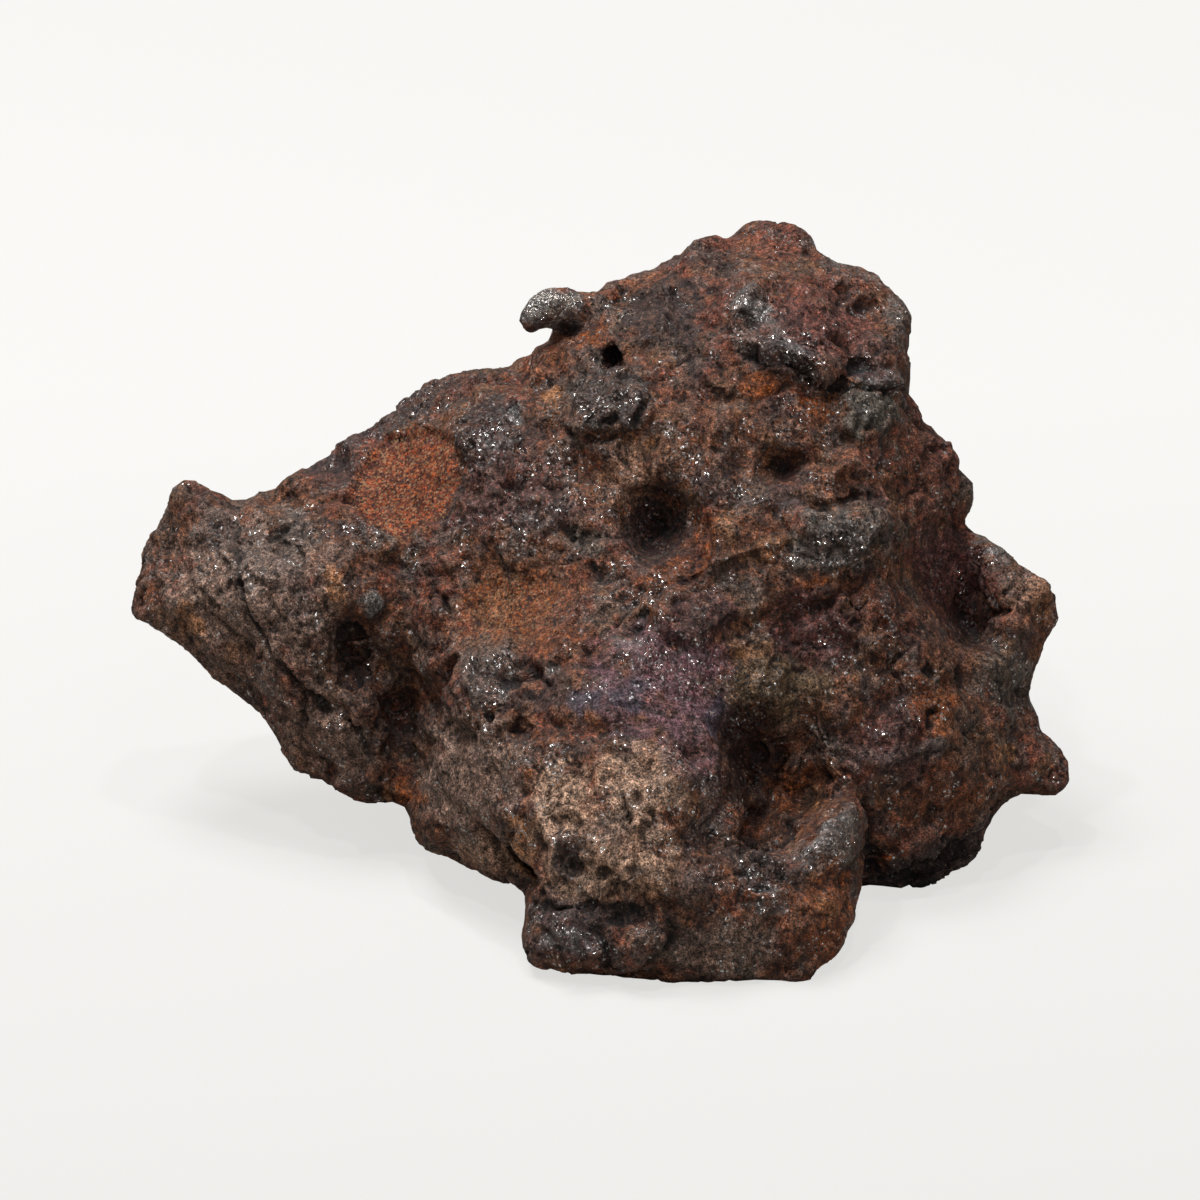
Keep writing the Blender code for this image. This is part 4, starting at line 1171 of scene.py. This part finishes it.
# %% Gloss, metal and fine relief
shader.inputs["IOR"].default_value = 1.42
dull = ramp(iron, gloss_here, 0, 0.9, 0.82, 0.24)
dull = calculate(iron, "ADD", dull, ramp(iron, fine_cloud, 0.3, 0.7, 0.10, -0.10))
dull = calculate(iron, "SUBTRACT", dull, calculate(iron, "MULTIPLY", glint, 0.25), clamp=True)
put(iron, shader.inputs["Roughness"], dull)
bare = calculate(iron, "MAXIMUM", glint, calculate(iron, "MULTIPLY", metal_here, 0.85))
put(iron, shader.inputs["Metallic"], bare)

relief = calculate(iron, "MULTIPLY", fine_cloud, 0.00020)
for step in (calculate(iron, "MULTIPLY", lines_here, 0.00012), calculate(iron, "MULTIPLY", pores_here, -0.00015),
             big_flakes["Height"], small_flakes["Height"]):
    relief = calculate(iron, "ADD", relief, step)
bump = iron.nodes.new("ShaderNodeBump")
bump.inputs["Strength"].default_value = 1.0
bump.inputs["Distance"].default_value = 1.0
put(iron, bump.inputs["Height"], relief)
put(iron, shader.inputs["Normal"], bump.outputs["Normal"])
fine.materials.append(material)
print("material nodes", len(iron.nodes))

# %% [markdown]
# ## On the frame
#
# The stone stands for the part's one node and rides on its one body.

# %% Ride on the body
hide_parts("meteorite")
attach(stone, "root")

# %% [markdown]
# ## Floor, light and camera
#
# The stone stands on a plain floor under soft light from above and a little behind, with
# a smaller brighter panel that wakes the glints. Most of the floor's paleness is a painted glow that
# only the camera sees, a little dimmer towards the front, so the floor doesn't light the stone from
# below. The camera looks square at the leaning face.


# %% Floor
floor_maker = bmesh.new()
bmesh.ops.create_grid(floor_maker, x_segments=1, y_segments=1, size=3)
floor_mesh = bpy.data.meshes.new("floor")
floor_maker.to_mesh(floor_mesh)
floor_maker.free()
floor = bpy.data.objects.new("floor", floor_mesh)
bpy.context.scene.collection.objects.link(floor)
floor_paint = bpy.data.materials.new("pale_floor")
floor_paint.use_nodes = True
floor_tree = floor_paint.node_tree
floor_shader = floor_tree.nodes["Principled BSDF"]
# Painted glow: the floor glows to camera rays only, a little brighter towards the back, so it looks pale.
to_camera = floor_tree.nodes.new("ShaderNodeLightPath").outputs["Is Camera Ray"]
put(floor_tree, floor_shader.inputs["Base Color"],
    mixed(floor_tree, "MIX", to_camera, (0.28, 0.26, 0.24, 1), (0.12, 0.119, 0.118, 1)))
floor_place = floor_tree.nodes.new("ShaderNodeSeparateXYZ")
put(floor_tree, floor_place.inputs[0], floor_tree.nodes.new("ShaderNodeTexCoord").outputs["Object"])
painted_floor_glow = ramp(floor_tree, floor_place.outputs["Y"], -0.2, 0.15, 0.62, 0.75)
put(floor_tree, floor_shader.inputs["Emission Strength"], calculate(floor_tree, "MULTIPLY", to_camera, painted_floor_glow))
floor_shader.inputs["Emission Color"].default_value = (1.0, 0.99, 0.965, 1)
floor_shader.inputs["Roughness"].default_value = 0.9
floor_shader.inputs["Specular IOR Level"].default_value = 0.1
floor_mesh.materials.append(floor_paint)

# %% Lights
AIM = Vector((0, 0, 0.03))


def panel(name, place, size, power, colour=(1, 1, 1)):
    """A square light panel that faces the stone."""
    light = bpy.data.lights.new(name, "AREA")
    light.size = size
    light.energy = power
    light.color = colour
    lamp = bpy.data.objects.new(name, light)
    bpy.context.scene.collection.objects.link(lamp)
    lamp.location = place
    lamp.rotation_euler = (AIM - Vector(place)).to_track_quat("-Z", "Y").to_euler()
    return lamp


panel("overhead", (-0.26, 0.18, 0.98), 0.40, 11)
panel("spark left", (-0.28, -0.22, 0.88), 0.05, 2.4)
panel("spark right", (0.10, -0.12, 0.92), 0.05, 2.0)
panel("fill", (0.3, -0.9, 0.6), 0.8, 2.6)
sky = bpy.data.worlds.new("studio")
sky.use_nodes = True
sky.node_tree.nodes["Background"].inputs["Color"].default_value = (1, 0.99, 0.97, 1)
sky.node_tree.nodes["Background"].inputs["Strength"].default_value = 0.20
bpy.context.scene.world = sky
bpy.context.scene.view_settings.view_transform = "Standard"

# %% Camera
CAMERA_TARGET = np.array([[-0.06, 48.5, 0.0]])
CAMERA_AWAY = 0.9
FRAME_WIDTH = 0.154
camera_data = bpy.data.cameras.new("camera")
camera_data.sensor_width = 36
camera_data.lens = 36 * CAMERA_AWAY / FRAME_WIDTH
camera_data.clip_start = 0.05
camera = bpy.data.objects.new("camera", camera_data)
bpy.context.scene.collection.objects.link(camera)
away = Vector((0, -math.cos(LEAN), math.sin(LEAN)))
camera.location = Vector(to_world(CAMERA_TARGET)[0]) + away * CAMERA_AWAY
camera.rotation_euler = away.to_track_quat("Z", "Y").to_euler()
bpy.context.scene.camera = camera
print("lens", round(camera_data.lens, 1), "mm")

# %% Update the scene
bpy.context.view_layer.update()
